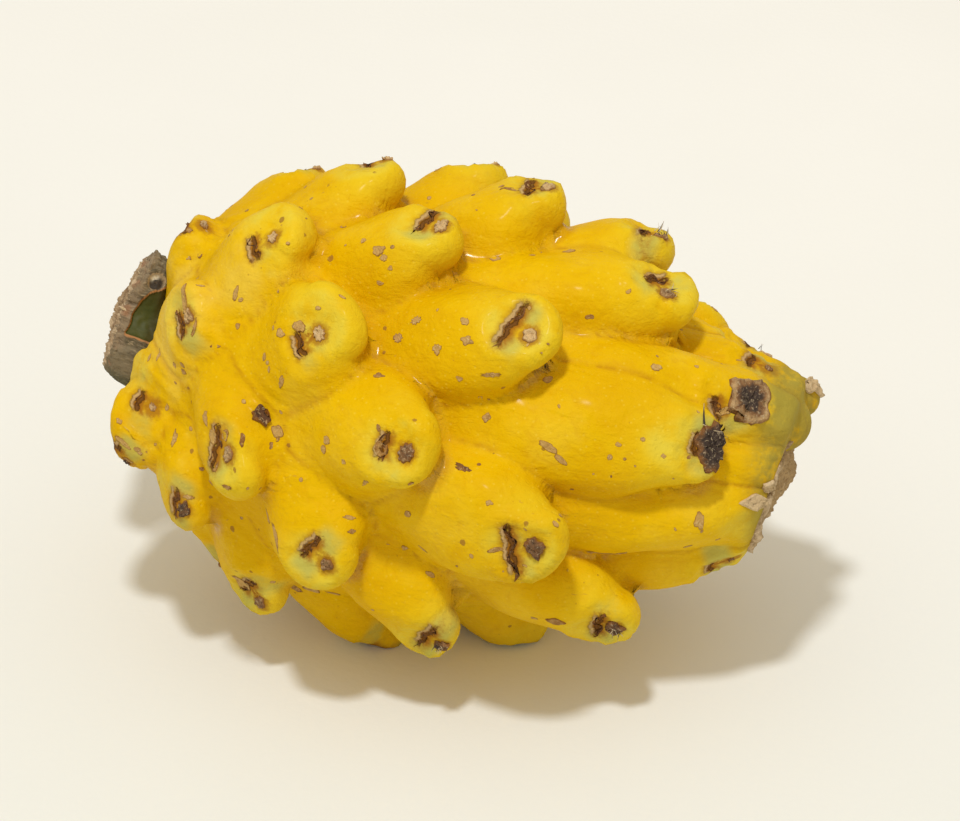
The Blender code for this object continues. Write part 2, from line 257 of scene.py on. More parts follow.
def fruit_distance(points, dented=False):
    """Distance to the fruit: minus the log of summed exponentials of body and tubercles, plus a wave.

    A tubercle counts where a point is within NEAR_REACH and half its length of its middle. With dents,
    folds run beside the creases as a cosine of how much nearer one tubercle is than the next, and the
    scabs are pressed in.
    """
    centre = np.clip(points[:, 0], STEM_BALL_STATION, BLOSSOM_BALL_STATION)
    away = np.sqrt((points[:, 0] - centre) ** 2 + points[:, 1] ** 2 + points[:, 2] ** 2)
    total = np.exp((ball_radius(centre) - away) / BLEND)
    first, second = total.copy(), np.full(len(points), 1e-30)
    for tubercle in tubercles:
        root, axes, length, _ = tubercle
        middle = root + 0.5 * length * axes[:, 0]
        near = np.flatnonzero(((points - middle) ** 2).sum(axis=1) < (0.5 * length + NEAR_REACH) ** 2)
        pull = np.exp(-tubercle_distance(points[near], tubercle) / BLEND)
        total[near] += pull
        second[near] = np.maximum(second[near], np.minimum(first[near], pull))
        first[near] = np.maximum(first[near], pull)
    x, y, z = points.T
    wave = np.sin(0.37 * x + 0.61 * y + 1.0) + np.sin(0.52 * y - 0.43 * z + 2.0)
    wave += np.sin(0.47 * z - 0.29 * x)
    grown = WAVE_DEPTH * wave / 2.0 - BLEND * np.log(total)
    if dented:
        apart = BLEND * np.log(first / second)
        fading = 0.55 + 0.45 * np.sin(0.31 * x + 0.53 * y) * np.sin(0.47 * z - 0.2 * x + 1.0)
        fold = np.cos(2.0 * math.pi * apart / FOLD_STEP)
        grown += FOLD_DEPTH * fold * np.exp(-apart / FOLD_FADE) * fading
        press_scabs(grown, points)
    return grown


def skin_distance(points, dented=False):
    """Distance to the fruit with its blossom end cut off in the scar's plane, with a rounded edge.

    Two upper fingers reach a little past the cut: capsules joined on by summed exponentials.
    """
    scar = (points[:, 0] - SCAR_STATION) * math.cos(SCAR_TILT) - points[:, 2] * math.sin(SCAR_TILT)
    fruit = fruit_distance(points, dented)
    soft = np.clip(0.5 + 0.5 * (fruit - scar) / SCAR_SOFT, 0.0, 1.0)
    cut = scar + (fruit - scar) * soft + 0.5 * SCAR_SOFT * soft * (1.0 - soft)
    total = np.exp(-np.maximum(cut, DEEP_INSIDE) / BLEND)
    for start, end, radius in FINGER_ENDS:
        way = np.subtract(end, start)
        share = np.clip((points - start) @ way / (way @ way), 0.0, 1.0)
        total += np.exp((radius - np.linalg.norm(points - start - share[:, None] * way, axis=1)) / BLEND)
    return -BLEND * np.log(total)


def slope_there(points, dented=False):
    """Distance at some points, and its slope from steps along the three axes."""
    here = skin_distance(points, dented)
    slope = np.empty_like(points)
    for axis in range(3):
        beside = points.copy()
        beside[:, axis] += SLOPE_STEP
        slope[:, axis] = (skin_distance(beside, dented) - here) / SLOPE_STEP
    return here, slope


def settle(points, dented=False):
    """Points moved onto the skin along its slope."""
    here, slope = slope_there(points, dented)
    return points - slope * (here / np.maximum((slope**2).sum(axis=1), LEAST_SLOPE))[:, None]


def unit(vectors):
    """Vectors of the same headings with a length of 1."""
    return vectors / np.linalg.norm(vectors, axis=-1)[..., None]


def reach_in(start, ray, first, distance=skin_distance):
    """How far along each ray the skin lies, walked in from a first reach outside it."""
    reach = np.full(len(ray), first)
    for _ in range(WALK_STEPS):
        reach -= WALK_SHARE * distance(start + ray * reach[:, None])
    return reach[:, None]


def on_skin(stations, angles):
    """Skin at each station and angle, where a ray square to the axis is walked in from outside."""
    turn = np.radians(angles)
    ray = np.stack((0.0 * turn, -np.sin(turn), np.cos(turn)), axis=-1)
    start = np.stack((stations, 0.0 * turn, 0.0 * turn), axis=-1)
    return start + ray * reach_in(start, ray, WALK_START)


def skin_axes(places, headings):
    """Axes at places on the skin, as columns: along the heading, across it to the left, and outward."""
    outs = unit(slope_there(places)[1])
    across = unit(np.cross(outs, headings))
    return np.stack((np.cross(across, outs), across, outs), axis=2)


def in_row_frame(points):
    """Stem end leant back and up by the square of its way from the middle, then moved into place."""
    lean = np.clip((LEAN_END - points[..., 0]) / LEAN_END, 0.0, None) ** 2
    leant = points + lean[..., None] * np.array((0.0, LEAN_BACK, LEAN_UP))
    return (leant + AXIS_PLACE) * 0.001


# Scab of each seen tubercle: station, angle and radius of its button and how dark it is from 0 to 1,
# then station, angle, half length and half width of the torn crack behind it
SEEN_SCABS = (
    (14.8, -2, 0.7, 0.5, 11.8, 1, 1.7, 0.8),
    (17.6, 44, 1.0, 0.4, 16.2, 47, 2.0, 0.8),
    (12.0, 84, 0.5, 0.5, 9.8, 84, 0.8, 0.3),
    (8.6, 108, 0.6, 0.9, 6.8, 104, 0.8, 0.3),
    (28.5, -27, 0.9, 0.4, 25.8, -28, 2.0, 0.6),
    (29.0, 20, 0.85, 0.15, 26.2, 22, 2.0, 0.65),
    (19.4, 104, 1.1, 0.9, 17.6, 104, 2.2, 0.8),
    (27.4, 77, 0.95, 0.5, 25.2, 77, 3.2, 0.7),
    (21.2, 146, 1.0, 0.7, 18.6, 145, 2.0, 0.6),
    (40.4, -17, 0.9, 0.3, 37.6, -17, 2.2, 0.6),
    (39.3, 43, 0.95, 0.12, 36.6, 46, 1.8, 0.3),
    (43.0, 98, 0.95, 0.6, 40.4, 95, 2.1, 0.55),
    (30.0, 128, 1.0, 0.7, 28.0, 126, 2.4, 0.6),
    (54.0, -34, 1.0, 0.4, 51.2, -34, 2.3, 0.6),
    (52.8, 11, 1.1, 0.25, 50.4, 9, 2.3, 0.6),
    (54.3, 67, 1.2, 0.75, 51.0, 66, 2.0, 0.5),
    (58.6, 123, 1.1, 0.7, 56.4, 121, 3.0, 0.8),
    (47.5, 155, 1.2, 0.9, 45.0, 157, 2.0, 0.6),
    (65.0, -13, 1.1, 0.4, 62.3, -13, 2.6, 0.8),
    (69.0, 37, 1.05, 0.1, 66.2, 35, 3.7, 0.6),
    (73.0, 87, 1.4, 0.85, 69.8, 88, 3.8, 0.5),
    (65.7, 172, 1.0, 0.6, 63.2, 172, 2.2, 0.6),
    (81.6, -18, 1.1, 0.5, 79.2, -18, 2.2, 0.9),
    (85.0, 6, 1.1, 0.6, 83.0, 1, 2.0, 1.0),
    (95.0, 57, 2.7, 0.95, 93.0, 57, 1.0, 0.2),
    (82.6, 124, 1.4, 0.9, 80.4, 123, 2.6, 0.9),
    (95.6, -29, 0.8, 0.8, 93.6, -29, 1.4, 0.6),
    (99.5, -3, 0.6, 0.6, 97.0, -4, 1.0, 0.4),
    (98.6, 33, 3.6, 0.58, 94.4, 41, 1.0, 0.5),
    (97.4, 130, 0.5, 0.6, 94.8, 129, 0.8, 0.3),
)
LAST_SCAB_STATION = 97.0
SCAB_PAST_TIP = 1.3

# Fractions whose multiples keep well apart over the whole numbers, for lots that look drawn
LOT_STEP = 0.618
CRACK_LOT_STEP = 0.381


def hidden_scabs():
    """The same numbers for the hidden tubercles: near each tip, with drawn sizes and darkness."""
    draw = np.random.default_rng(11)
    rows = []
    for row in hidden_tubercles():
        tip_station, tip_angle = row[2:4]
        station = min(tip_station + SCAB_PAST_TIP, LAST_SCAB_STATION)
        rows.append((station, tip_angle + draw.uniform(-2, 2), draw.uniform(0.8, 1.4),
                     draw.uniform(0.1, 0.9), station - draw.uniform(2.3, 3.3),
                     tip_angle + draw.uniform(-3, 3), draw.uniform(1.6, 3.4), draw.uniform(0.4, 0.9)))
    return tuple(rows)


scab_table = np.array(SEEN_SCABS + hidden_scabs(), dtype=float)
button_stations, button_angles, button_radii, button_darks = scab_table[:, :4].T
crack_stations, crack_angles, crack_halves, crack_widths = scab_table[:, 4:].T
button_places = on_skin(button_stations, button_angles)
crack_places = on_skin(crack_stations, crack_angles)
scab_headings = unit(button_places - crack_places)
scab_gaps = 0.5 * np.linalg.norm(button_places - crack_places, axis=1)
scab_places = settle(settle(0.5 * (button_places + crack_places)))
scab_axes = skin_axes(scab_places, scab_headings)

# Points of the coarse grid round and along the fruit. Its rays fan from the axis: at each share of
# the way from pole to pole they start at a station and have a pitch from the blossom's heading
AROUND = 176
ALONG = 108
FAN_SHARES = (0.0, 0.26, 0.78, 1.0)
FAN_STARTS = (19.0, 19.0, 82.0, 84.0)
FAN_PITCHES = (180.0, 76.0, 56.0, 0.0)
EVEN_ROUNDS = 12
EVEN_SHARE = 0.6


def skin_rows():
    """Rows of skin points from the stem pole to the blossom pole, once round the axis each.

    Rays fan from the axis and are walked in from outside to the skin. Rounds of moving each point
    toward the mean of its neighbours even out the gaps under overhanging tips. A point between each
    two neighbours then doubles the rows both ways, and settles on the skin with its dents.
    """
    share = np.repeat(np.linspace(0.0, 1.0, ALONG + 1), AROUND)
    turn = np.tile(np.arange(AROUND) * 2.0 * math.pi / AROUND, ALONG + 1)
    pitch = np.radians(np.interp(share, FAN_SHARES, FAN_PITCHES))
    ray = np.stack((np.cos(pitch), -np.sin(pitch) * np.sin(turn), np.sin(pitch) * np.cos(turn)), axis=1)
    start = np.zeros_like(ray)
    start[:, 0] = np.interp(share, FAN_SHARES, FAN_STARTS)
    grid = (start + ray * reach_in(start, ray, WALK_START)).reshape(ALONG + 1, AROUND, 3)
    for _ in range(EVEN_ROUNDS):
        sides = np.roll(grid, 1, axis=1) + np.roll(grid, -1, axis=1)
        mean = (sides[1:-1] + grid[:-2] + grid[2:]) / 4.0
        moved = grid[1:-1] + EVEN_SHARE * (mean - grid[1:-1])
        grid[1:-1] = settle(moved.reshape(-1, 3)).reshape(moved.shape)
    fine = np.empty((2 * ALONG + 1, 2 * AROUND, 3))
    fine[::2, ::2] = grid
    fine[::2, 1::2] = 0.5 * (grid + np.roll(grid, -1, axis=1))
    fine[1::2] = 0.5 * (fine[:-1:2] + fine[2::2])
    points = fine[1:-1].reshape(-1, 3)
    for _ in range(SETTLE_ROUNDS):
        points = settle(points, dented=True)
    fine[1:-1] = points.reshape(fine[1:-1].shape)
    return fine


def closed_forms(name, grids, marks):
    """Mesh of closed forms, each a grid of rows from pole to pole, with marks stored on its points.

    The first and last row of a form close in one point, and the rows between are joined by four-sided
    faces. Marks are arrays shaped like the grids: one number, or three for a vector, to a point.
    """
    forms, rows, around = grids.shape[:3]

    def by_point(values):
        poles = values[:, (0, -1)].mean(axis=2)
        rings = values[:, 1:-1].reshape((forms, (rows - 2) * around) + values.shape[3:])
        return np.concatenate((rings, poles), axis=1)

    points = by_point(grids)
    here = np.arange((rows - 2) * around).reshape(rows - 2, around)
    beside = np.roll(here, -1, axis=1)
    quads = np.stack((here[:-1], beside[:-1], beside[1:], here[1:]), axis=-1).reshape(-1, 4)
    first = np.full(around, points.shape[1] - 2)
    caps = np.concatenate((np.stack((beside[0], here[0], first), axis=-1),
                           np.stack((here[-1], beside[-1], first + 1), axis=-1)))
    starts = (np.arange(forms) * points.shape[1])[:, None, None]
    quads, caps = (quads + starts).reshape(-1), (caps + starts).reshape(-1)
    mesh = bpy.data.meshes.new(name)
    mesh.vertices.add(points.shape[0] * points.shape[1])
    mesh.vertices.foreach_set("co", points.reshape(-1).astype(np.float32))
    mesh.loops.add(len(quads) + len(caps))
    mesh.loops.foreach_set("vertex_index", np.concatenate((quads, caps)).astype(np.int32))
    mesh.polygons.add(len(quads) // 4 + len(caps) // 3)
    loop_starts = np.concatenate((np.arange(0, len(quads), 4), len(quads) + np.arange(0, len(caps), 3)))
    mesh.polygons.foreach_set("loop_start", loop_starts.astype(np.int32))
    mesh.update(calc_edges=True)
    turned = bmesh.new()
    turned.from_mesh(mesh)
    bmesh.ops.recalc_face_normals(turned, faces=turned.faces)
    turned.to_mesh(mesh)
    turned.free()
    for mark, values in marks.items():
        kind = "FLOAT_VECTOR" if values.ndim == 4 else "FLOAT"
        field = "vector" if values.ndim == 4 else "value"
        layer = mesh.attributes.new(mark, kind, "POINT")
        layer.data.foreach_set(field, by_point(values).reshape(-1).astype(np.float32))
    mesh.shade_smooth()
    thing = bpy.data.objects.new(name, mesh)
    bpy.context.scene.collection.objects.link(thing)
    return thing


# Distances that the searches start from, and how far the marks on the skin reach
FARTHEST_SCAB = 30.0
FARTHEST_TUBERCLE = 40.0
TIPWARD_BLEND = 1.5
CREASE_WIDTH = 0.4
HOLLOW_PROBE = 2.2


def nearest_scab(points):
    """Place of points at the nearest scab, its traits, its distance and its lead over the next one.

    The place is in the frame midway between button and crack. The traits are half the way between
    the two, the crack's half length and a lot from 0 to 1.
    """
    far = np.full((2, len(points)), FARTHEST_SCAB)
    local = np.full((len(points), 3), FARTHEST_SCAB)
    traits = np.zeros((len(points), 3))
    for number, (place, axes) in enumerate(zip(scab_places, scab_axes)):
        reach = np.linalg.norm(points - place, axis=1)
        near = np.flatnonzero(reach < far[1])
        first = near[reach[near] < far[0, near]]
        far[1, near] = np.where(reach[near] < far[0, near], far[0, near], reach[near])
        far[0, first] = reach[first]
        local[first] = (points[first] - place) @ axes
        traits[first] = (scab_gaps[number], crack_halves[number], (number * LOT_STEP) % 1.0)
    return local, traits, far[0], far[1] - far[0]


def tip_shares(points):
    """How far tipward points lie, from 0 at a root to 1 at a tip, and how flat: 1 on a tip's facet."""
    centre = np.clip(points[:, 0], STEM_BALL_STATION, BLOSSOM_BALL_STATION)
    body = np.exp((ball_radius(centre) - np.hypot(points[:, 1], points[:, 2])) / TIPWARD_BLEND)
    weight, tipward, flat = np.maximum(body, 1e-9), np.zeros(len(points)), np.zeros(len(points))
    for tubercle in tubercles:
        root, axes, length, _ = tubercle
        ball, facet = ball_and_facet(points, tubercle)
        pull = np.exp(-np.clip(np.maximum(ball, facet), -1.0, FARTHEST_TUBERCLE) / TIPWARD_BLEND)
        share = np.clip(((points - root) @ axes[:, 0]) / length, 0.0, 1.0)
        weight += pull
        tipward += pull * share
        tip = np.clip((share - 0.55) / 0.3, 0.0, 1.0)
        pared = np.clip(0.5 + (facet - ball) / 1.2, 0.0, 1.0)
        flat = np.maximum(flat, pared * np.minimum(pull, 1.0) * tip)
    return tipward / weight, flat


# The crease share masks the painted shade in the skin's creases
def crease_share(points):
    """1 where the two nearest tubercles are alike near, falling to 0 half a millimetre aside."""
    nearest = np.full((2, len(points)), FARTHEST_TUBERCLE)
    for tubercle in tubercles:
        here = tubercle_distance(points, tubercle)
        nearest[1] = np.minimum(nearest[1], np.maximum(nearest[0], here))
        nearest[0] = np.minimum(nearest[0], here)
    return np.exp(-(((nearest[1] - nearest[0]) / CREASE_WIDTH) ** 2)) * (nearest[0] < 2.0)


def on_grid(values):
    """Values of the skin's points in the shape of its grid, as closed_forms takes them."""
    return values.reshape((1,) + skin_grid.shape[:2] + values.shape[1:])


skin_grid = skin_rows()
flat_points = skin_grid.reshape(-1, 3)
scab_local, scab_traits, scab_reach, scab_lead = nearest_scab(flat_points)
tipward, facet_share = tip_shares(flat_points)
skin_outs = unit(slope_there(flat_points)[1])
# How deep in a hollow each point lies: it drives the painted shade in the valleys, and the wax and relief
# lines there
probed = skin_distance(flat_points + HOLLOW_PROBE * skin_outs)
hollow = np.clip(1.0 - probed / HOLLOW_PROBE, 0.0, 1.0)
laid = in_row_frame(skin_grid)
laid[..., 2] = np.maximum(laid[..., 2], 0.0)
skin = closed_forms("dragon_fruit_skin", laid[None], {
    "scab_place": on_grid(scab_local),
    "scab_traits": on_grid(scab_traits),
    "scab_reach": on_grid(scab_reach),
    "scab_lead": on_grid(scab_lead),
    "tipward": on_grid(tipward),
    "facet": on_grid(facet_share),
    "hollow": on_grid(hollow),
    "crease_shade": on_grid(crease_share(flat_points)),
    "station": on_grid(flat_points[:, 0]),
})


class Mark:
    """One value or colour over a surface. Arithmetic on marks adds Math nodes."""

    def __init__(self, tree, socket):
        self.tree, self.socket = tree, socket

    def node(self, kind, settings, sockets, out=0):
        """Adds any node: its settings first, then the value or link of each named socket."""
        made = self.tree.nodes.new(kind)
        for name, value in settings.items():
            setattr(made, name, value)
        for name, value in sockets.items():
            if isinstance(value, Mark):
                self.tree.links.new(value.socket, made.inputs[name])
            else:
                made.inputs[name].default_value = value
        return Mark(self.tree, made.outputs[out])

    def math(self, operation, *values):
        """Adds a Math node over some marks or numbers."""
        return self.node("ShaderNodeMath", {"operation": operation}, dict(enumerate(values)))

    def __add__(self, other):
        return self.math("ADD", self, other)

    def __sub__(self, other):
        return self.math("SUBTRACT", self, other)

    def __rsub__(self, other):
        return self.math("SUBTRACT", other, self)

    def __mul__(self, other):
        return self.math("MULTIPLY", self, other)

    def __truediv__(self, other):
        return self.math("DIVIDE", self, other)

    def __abs__(self):
        return self.math("ABSOLUTE", self)

    __radd__ = __add__

    def rise(self, low, high):
        """Smooth step from 0 at low to 1 at high, or falling where high is the smaller."""
        flip = low > high
        return self.node("ShaderNodeMapRange", {"interpolation_type": "SMOOTHSTEP"}, {
            "Value": self, "From Min": min(low, high), "From Max": max(low, high),
            "To Min": float(flip), "To Max": float(not flip)})

    def over(self, other):
        """The larger of two marks."""
        return self.math("MAXIMUM", self, other)

    def stain(self, under, colour):
        """Colour laid over another as thickly as this mark is."""
        tint = colour if isinstance(colour, Mark) else (*colour, 1.0)
        base = under if isinstance(under, Mark) else (*under, 1.0)
        return self.node("ShaderNodeMix", {"data_type": "RGBA"}, {0: self, 6: base, 7: tint}, 2)

    def noise(self, grain, detail=2.0, rough=0.5, bend=0.0):
        """Noise from 0 to 1 over these coordinates, with a grain size in metres."""
        return self.node("ShaderNodeTexNoise", {"normalize": True}, {
            "Vector": self, "Scale": 1.0 / grain, "Detail": detail, "Roughness": rough,
            "Distortion": bend})

    def cells(self, grain, out="Distance"):
        """Distance to the nearest of scattered points, or that point's own colour."""
        return self.node("ShaderNodeTexVoronoi", {}, {"Vector": self, "Scale": 1.0 / grain}, out)

    def squeezed(self, x, y, z):
        """These coordinates scaled on each axis."""
        return self.node("ShaderNodeVectorMath", {"operation": "MULTIPLY"}, {0: self, 1: (x, y, z)})

    def part(self, axis):
        """One number of a vector or colour."""
        return self.node("ShaderNodeSeparateXYZ", {}, {0: self}, axis)


def new_finish(name, roughness, **constants):
    """Material with its steady values set; gives it, its Principled BSDF and the object's coordinates."""
    material = bpy.data.materials.new(name)
    material.use_nodes = True
    tree = material.node_tree
    shader = tree.nodes["Principled BSDF"]
    shader.inputs["Roughness"].default_value = roughness
    for socket, value in constants.items():
        shader.inputs[socket.replace("_", " ")].default_value = value
    return material, shader, Mark(tree, tree.nodes.new("ShaderNodeTexCoord").outputs["Object"])


def stored(place, name, out="Fac"):
    """Mark stored on the mesh's points under a name: one number, or three with out="Vector"."""
    return place.node("ShaderNodeAttribute", {"attribute_name": name}, {}, out)


def feed(shader, place, **links):
    """Links marks to the shader's sockets; height is in metres and goes through a Bump node."""
    for socket, mark in links.items():
        if socket == "height":
            bump = place.node("ShaderNodeBump", {}, {"Height": mark, "Distance": 1.0, "Strength": 1.0})
            place.tree.links.new(bump.socket, shader.inputs["Normal"])
        else:
            place.tree.links.new(mark.socket, shader.inputs[socket.replace("_", " ")])


def skin_finish():
    """Waxy yellow skin: oranger hollows partly of painted shade, painted shade in creases, pale facets,
    green, rust and cracks at scabs, specks.
    """
    material, shader, place = new_finish(
        "dragon_fruit_skin", 0.5, Specular_IOR_Level=0.05, Coat_Roughness=0.14)
    local = stored(place, "scab_place", "Vector")
    along, across = local.part(0), local.part(1)
    traits = stored(place, "scab_traits", "Vector")
    gap, half, lot = traits.part(0), traits.part(1), traits.part(2)
    near = stored(place, "scab_reach").rise(7.0, 4.6) * stored(place, "scab_lead").rise(0.0, 1.6)
    deep, tip = stored(place, "hollow"), stored(place, "tipward")
    flat, station = stored(place, "facet"), stored(place, "station")
    broad = place.noise(0.022, 3.0)
    patch = place.noise(0.007, 4.0, 0.6)
    fine = place.noise(0.0012, 4.0, 0.6)
    grit = place.noise(0.0004, 3.0, 0.6)
    grain = fine - 0.5

    # Yellow all over, mottled, oranger in the valleys with painted shade there and in the creases,
    # bleached at the stem end and pale on the tips
    colour = broad.rise(0.35, 0.65).stain((0.69, 0.40, 0.0), (0.75, 0.465, 0.0))
    colour = (patch.rise(0.45, 0.75) * 0.35).stain(colour, (0.79, 0.53, 0.002))
    mottle = place.noise(0.0026, 4.0, 0.65, 0.6)
    colour = (mottle.rise(0.52, 0.30) * 0.4).stain(colour, (0.63, 0.34, 0.0))
    colour = (fine.rise(0.46, 0.28) * 0.22).stain(colour, (0.60, 0.30, 0.0))
    # The valleys' orange is the skin's own hue; their darkening is painted shade
    valley = deep.rise(0.30, 0.85)
    colour = (valley * 0.62).stain(colour, (0.59, 0.30, 0.0))
    colour = (valley * (fine + patch - 0.55).rise(0.35, 0.75) * 0.4).stain(colour, (0.45, 0.19, 0.004))
    # Painted shade along the creases between neighbouring tubercles
    crease_shade = stored(place, "crease_shade") * (mottle + patch).rise(0.75, 1.1)
    colour = (crease_shade * 0.7).stain(colour, (0.47, 0.21, 0.004))
    bleached = (broad + patch * 0.6).rise(0.80, 1.05) * (station.rise(42.0, 12.0) * 0.5 + 0.15)
    colour = bleached.stain(colour, (0.78, 0.56, 0.09))
    colour = (tip.rise(0.6, 1.0) * patch.rise(0.2, 0.6) * 0.5).stain(colour, (0.75, 0.57, 0.022))
    pale = flat.rise(0.05, 0.9) * (patch + mottle * 0.6).rise(0.55, 1.05)
    colour = (pale * 0.7).stain(colour, (0.70, 0.57, 0.06))

    # Round each scab: a green smear, rust with a halo round the button, pale flakes and a dark crack
    torn = local.noise(0.8, 4.0, 0.65) - 0.5
    wander = local.squeezed(0.2, 1.0, 0.2).noise(1.5, 3.0) - 0.5
    back = along + gap + wander * 1.7
    sideways = abs(across) / half.over(1.7)
    smear = abs(across + torn).rise(0.7, 1.9) * abs(across).rise(5.2, 3.2)
    smear = smear * abs(along + 0.4).rise(2.8, 1.0) * near * (patch + lot * 0.35).rise(0.45, 0.8)
    colour = (smear * 0.68).stain(colour, (0.43, 0.43, 0.11))
    line = abs(back) + torn * 0.9
    rust = line.rise(2.2, 0.4) * (sideways + torn).rise(1.4, 0.7) * near
    bridge = (abs(across + torn * 2.5) + torn).rise(1.2, 0.3) * abs(along).rise(2.6, 1.0) * near
    rust = rust.over(bridge * patch.rise(0.3, 0.6))
    middle = gap.node("ShaderNodeCombineXYZ", {}, {"X": gap})
    button = local.node("ShaderNodeVectorMath", {"operation": "SUBTRACT"}, {0: local, 1: middle})
    off = button.node("ShaderNodeVectorMath", {"operation": "LENGTH"}, {0: button}, "Value")
    halo = (off + torn * 1.8).rise(2.3, 1.1) * near
    colour = (rust.over(halo * 0.8) * 0.95).stain(colour, (0.33, 0.12, 0.010))
    flakes = abs(back + 0.85 + torn * 0.5).rise(0.5, 0.1) * (sideways + torn * 0.6).rise(1.1, 0.8)
    flakes = flakes * near
    colour = (flakes * 0.5).stain(colour, (0.60, 0.46, 0.26))
    dark = line.rise(0.45, 0.1) * (sideways + torn * 0.5).rise(1.12, 0.85) * near
    colour = (dark * 0.85).stain(colour, (0.13, 0.055, 0.016))

    # Specks, pricks, pores and scratches, thicker in some places, and olive ends of the fingers
    thick = place.noise(0.016, 2.0)
    dots = place.cells(0.0036)
    size = place.cells(0.0036, out="Color").part(0) * thick.rise(0.38, 0.66)
    speck = (dots * 3.6 + grain * 1.1 - size * 0.42).rise(0.16, 0.04) * size.rise(0.2, 0.35)
    colour = (speck * 0.75).stain(colour, (0.30, 0.135, 0.03))
    prick = (place.cells(0.0017) * 2.0 + grain * 0.5).rise(0.22, 0.08) * thick.rise(0.52, 0.68)
    colour = (prick * 0.55).stain(colour, (0.36, 0.16, 0.015))
    pores = place.cells(0.0011)
    colour = (pores.rise(0.24, 0.06) * 0.22).stain(colour, (0.90, 0.68, 0.08))
    scratch = place.squeezed(0.22, 1.0, 1.0).noise(0.0009, 2.0, 0.5, 0.6)
    scratch = scratch.rise(0.71, 0.76) * thick.rise(0.5, 0.65)
    colour = (scratch * 0.5).stain(colour, (0.45, 0.22, 0.04))
    olive = station.rise(97.5, 102.0) * (patch + grain * 0.6).rise(0.2, 0.55)
    colour = (olive * 0.8).stain(colour, (0.29, 0.235, 0.045))

    # Gloss, relief in metres, and wax, which is thicker in the valleys
    dry = dark.over(rust * 0.8).over(speck).over(smear * 0.4).over(olive * 0.5)
    gloss = 0.42 + patch * 0.12 + fine * 0.1 + dry * 0.35
    lines = place.squeezed(0.3, 1.0, 1.0).noise(0.0014, 3.0, 0.6, 0.7)
    height = grit * 0.00005 + fine * 0.00017 + lines * (valley * 0.00035 + 0.0002) + mottle * 0.00024
    height = height - dark * 0.0004 + flakes * 0.0003 - pores.rise(0.3, 0.0) * 0.00003 + speck * 0.00005
    wax = valley * patch.rise(0.4, 0.6) * 0.5 + 0.02 - dry * 0.02
    feed(shader, place, Base_Color=colour, Roughness=gloss, Coat_Weight=wax, height=height)
    return material


skin.data.materials.append(skin_finish())
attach(skin, "root")
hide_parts("fruit")


# Scabs. Each tubercle carries a dried areole where its leaf scale and spines fell off: a button of
# ringed cork, and behind it a torn brown crack with curled edges. Both are crusts grown on the skin.

# A crust's rings stand at these shares of its outline. The rises belong to the rings above the skin,
# for a button, for the lump that a dark button swells into, and for a crack
BUTTON_SHARES = (0.0, 0.2, 0.4, 0.56, 0.7, 0.82, 0.92, 1.0, 0.85, 0.0)
BUTTON_RISES = (0.34, 0.26, 0.34, 0.58, 0.72, 0.62, 0.36, 0.06)
LUMP_RISES = (1.15, 1.1, 1.0, 0.88, 0.72, 0.52, 0.3, 0.05)
CRACK_RISES = (0.0, 0.02, 0.05, 0.12, 0.22, 0.25, 0.15, 0.03)
CRUST_SUNK = -0.35
LEAST_RISE = 0.03
BUTTON_AROUND = 30
BUTTON_WIDER = 1.08
BUTTON_HEIGHT = 0.58
LARGE_BUTTON = 1.5
CRACK_AROUND = 44
CRACK_THINNER = 0.38

# Row of the long tubercle's torn tip in SEEN_SCABS, and how much wider its button is
TORN_TIP = 24
TORN_TIP_WIDER = 1.25


def ripples(points, grain, seed, waves=16):
    """Rough relief near -1 to 1: sine waves with drawn headings, phases and lengths round the grain."""
    draw = np.random.default_rng(seed)
    headings = unit(draw.normal(size=(waves, 3))) / (grain * draw.uniform(0.6, 1.7, (waves, 1)))
    phases = 2.0 * math.pi * points @ headings.T + draw.uniform(0.0, 6.3, waves)
    return np.sin(phases).sum(axis=-1) / waves**0.5


def ragged(forms, around, amount, seed, waves=(2, 3, 4, 6, 9)):
    """Factor for each form and turn: 1 plus cosine waves round the outline, drawn in size and phase."""
    draw = np.random.default_rng(seed)
    turn = np.arange(around) * 2.0 * math.pi / around
    factor = np.ones((forms, around))
    for wave in waves:
        size = amount * draw.normal(size=(forms, 1)) / len(waves) ** 0.5
        factor += size * np.cos(wave * turn + draw.uniform(0.0, 6.3, (forms, 1)))
    return np.clip(factor, 0.45, 1.6)


def fair_lots(count, step=LOT_STEP):
    """Numbers from 0 to 1, one to a form, that lie well apart from one form to the next."""
    return np.modf(np.arange(count) * step)[0]


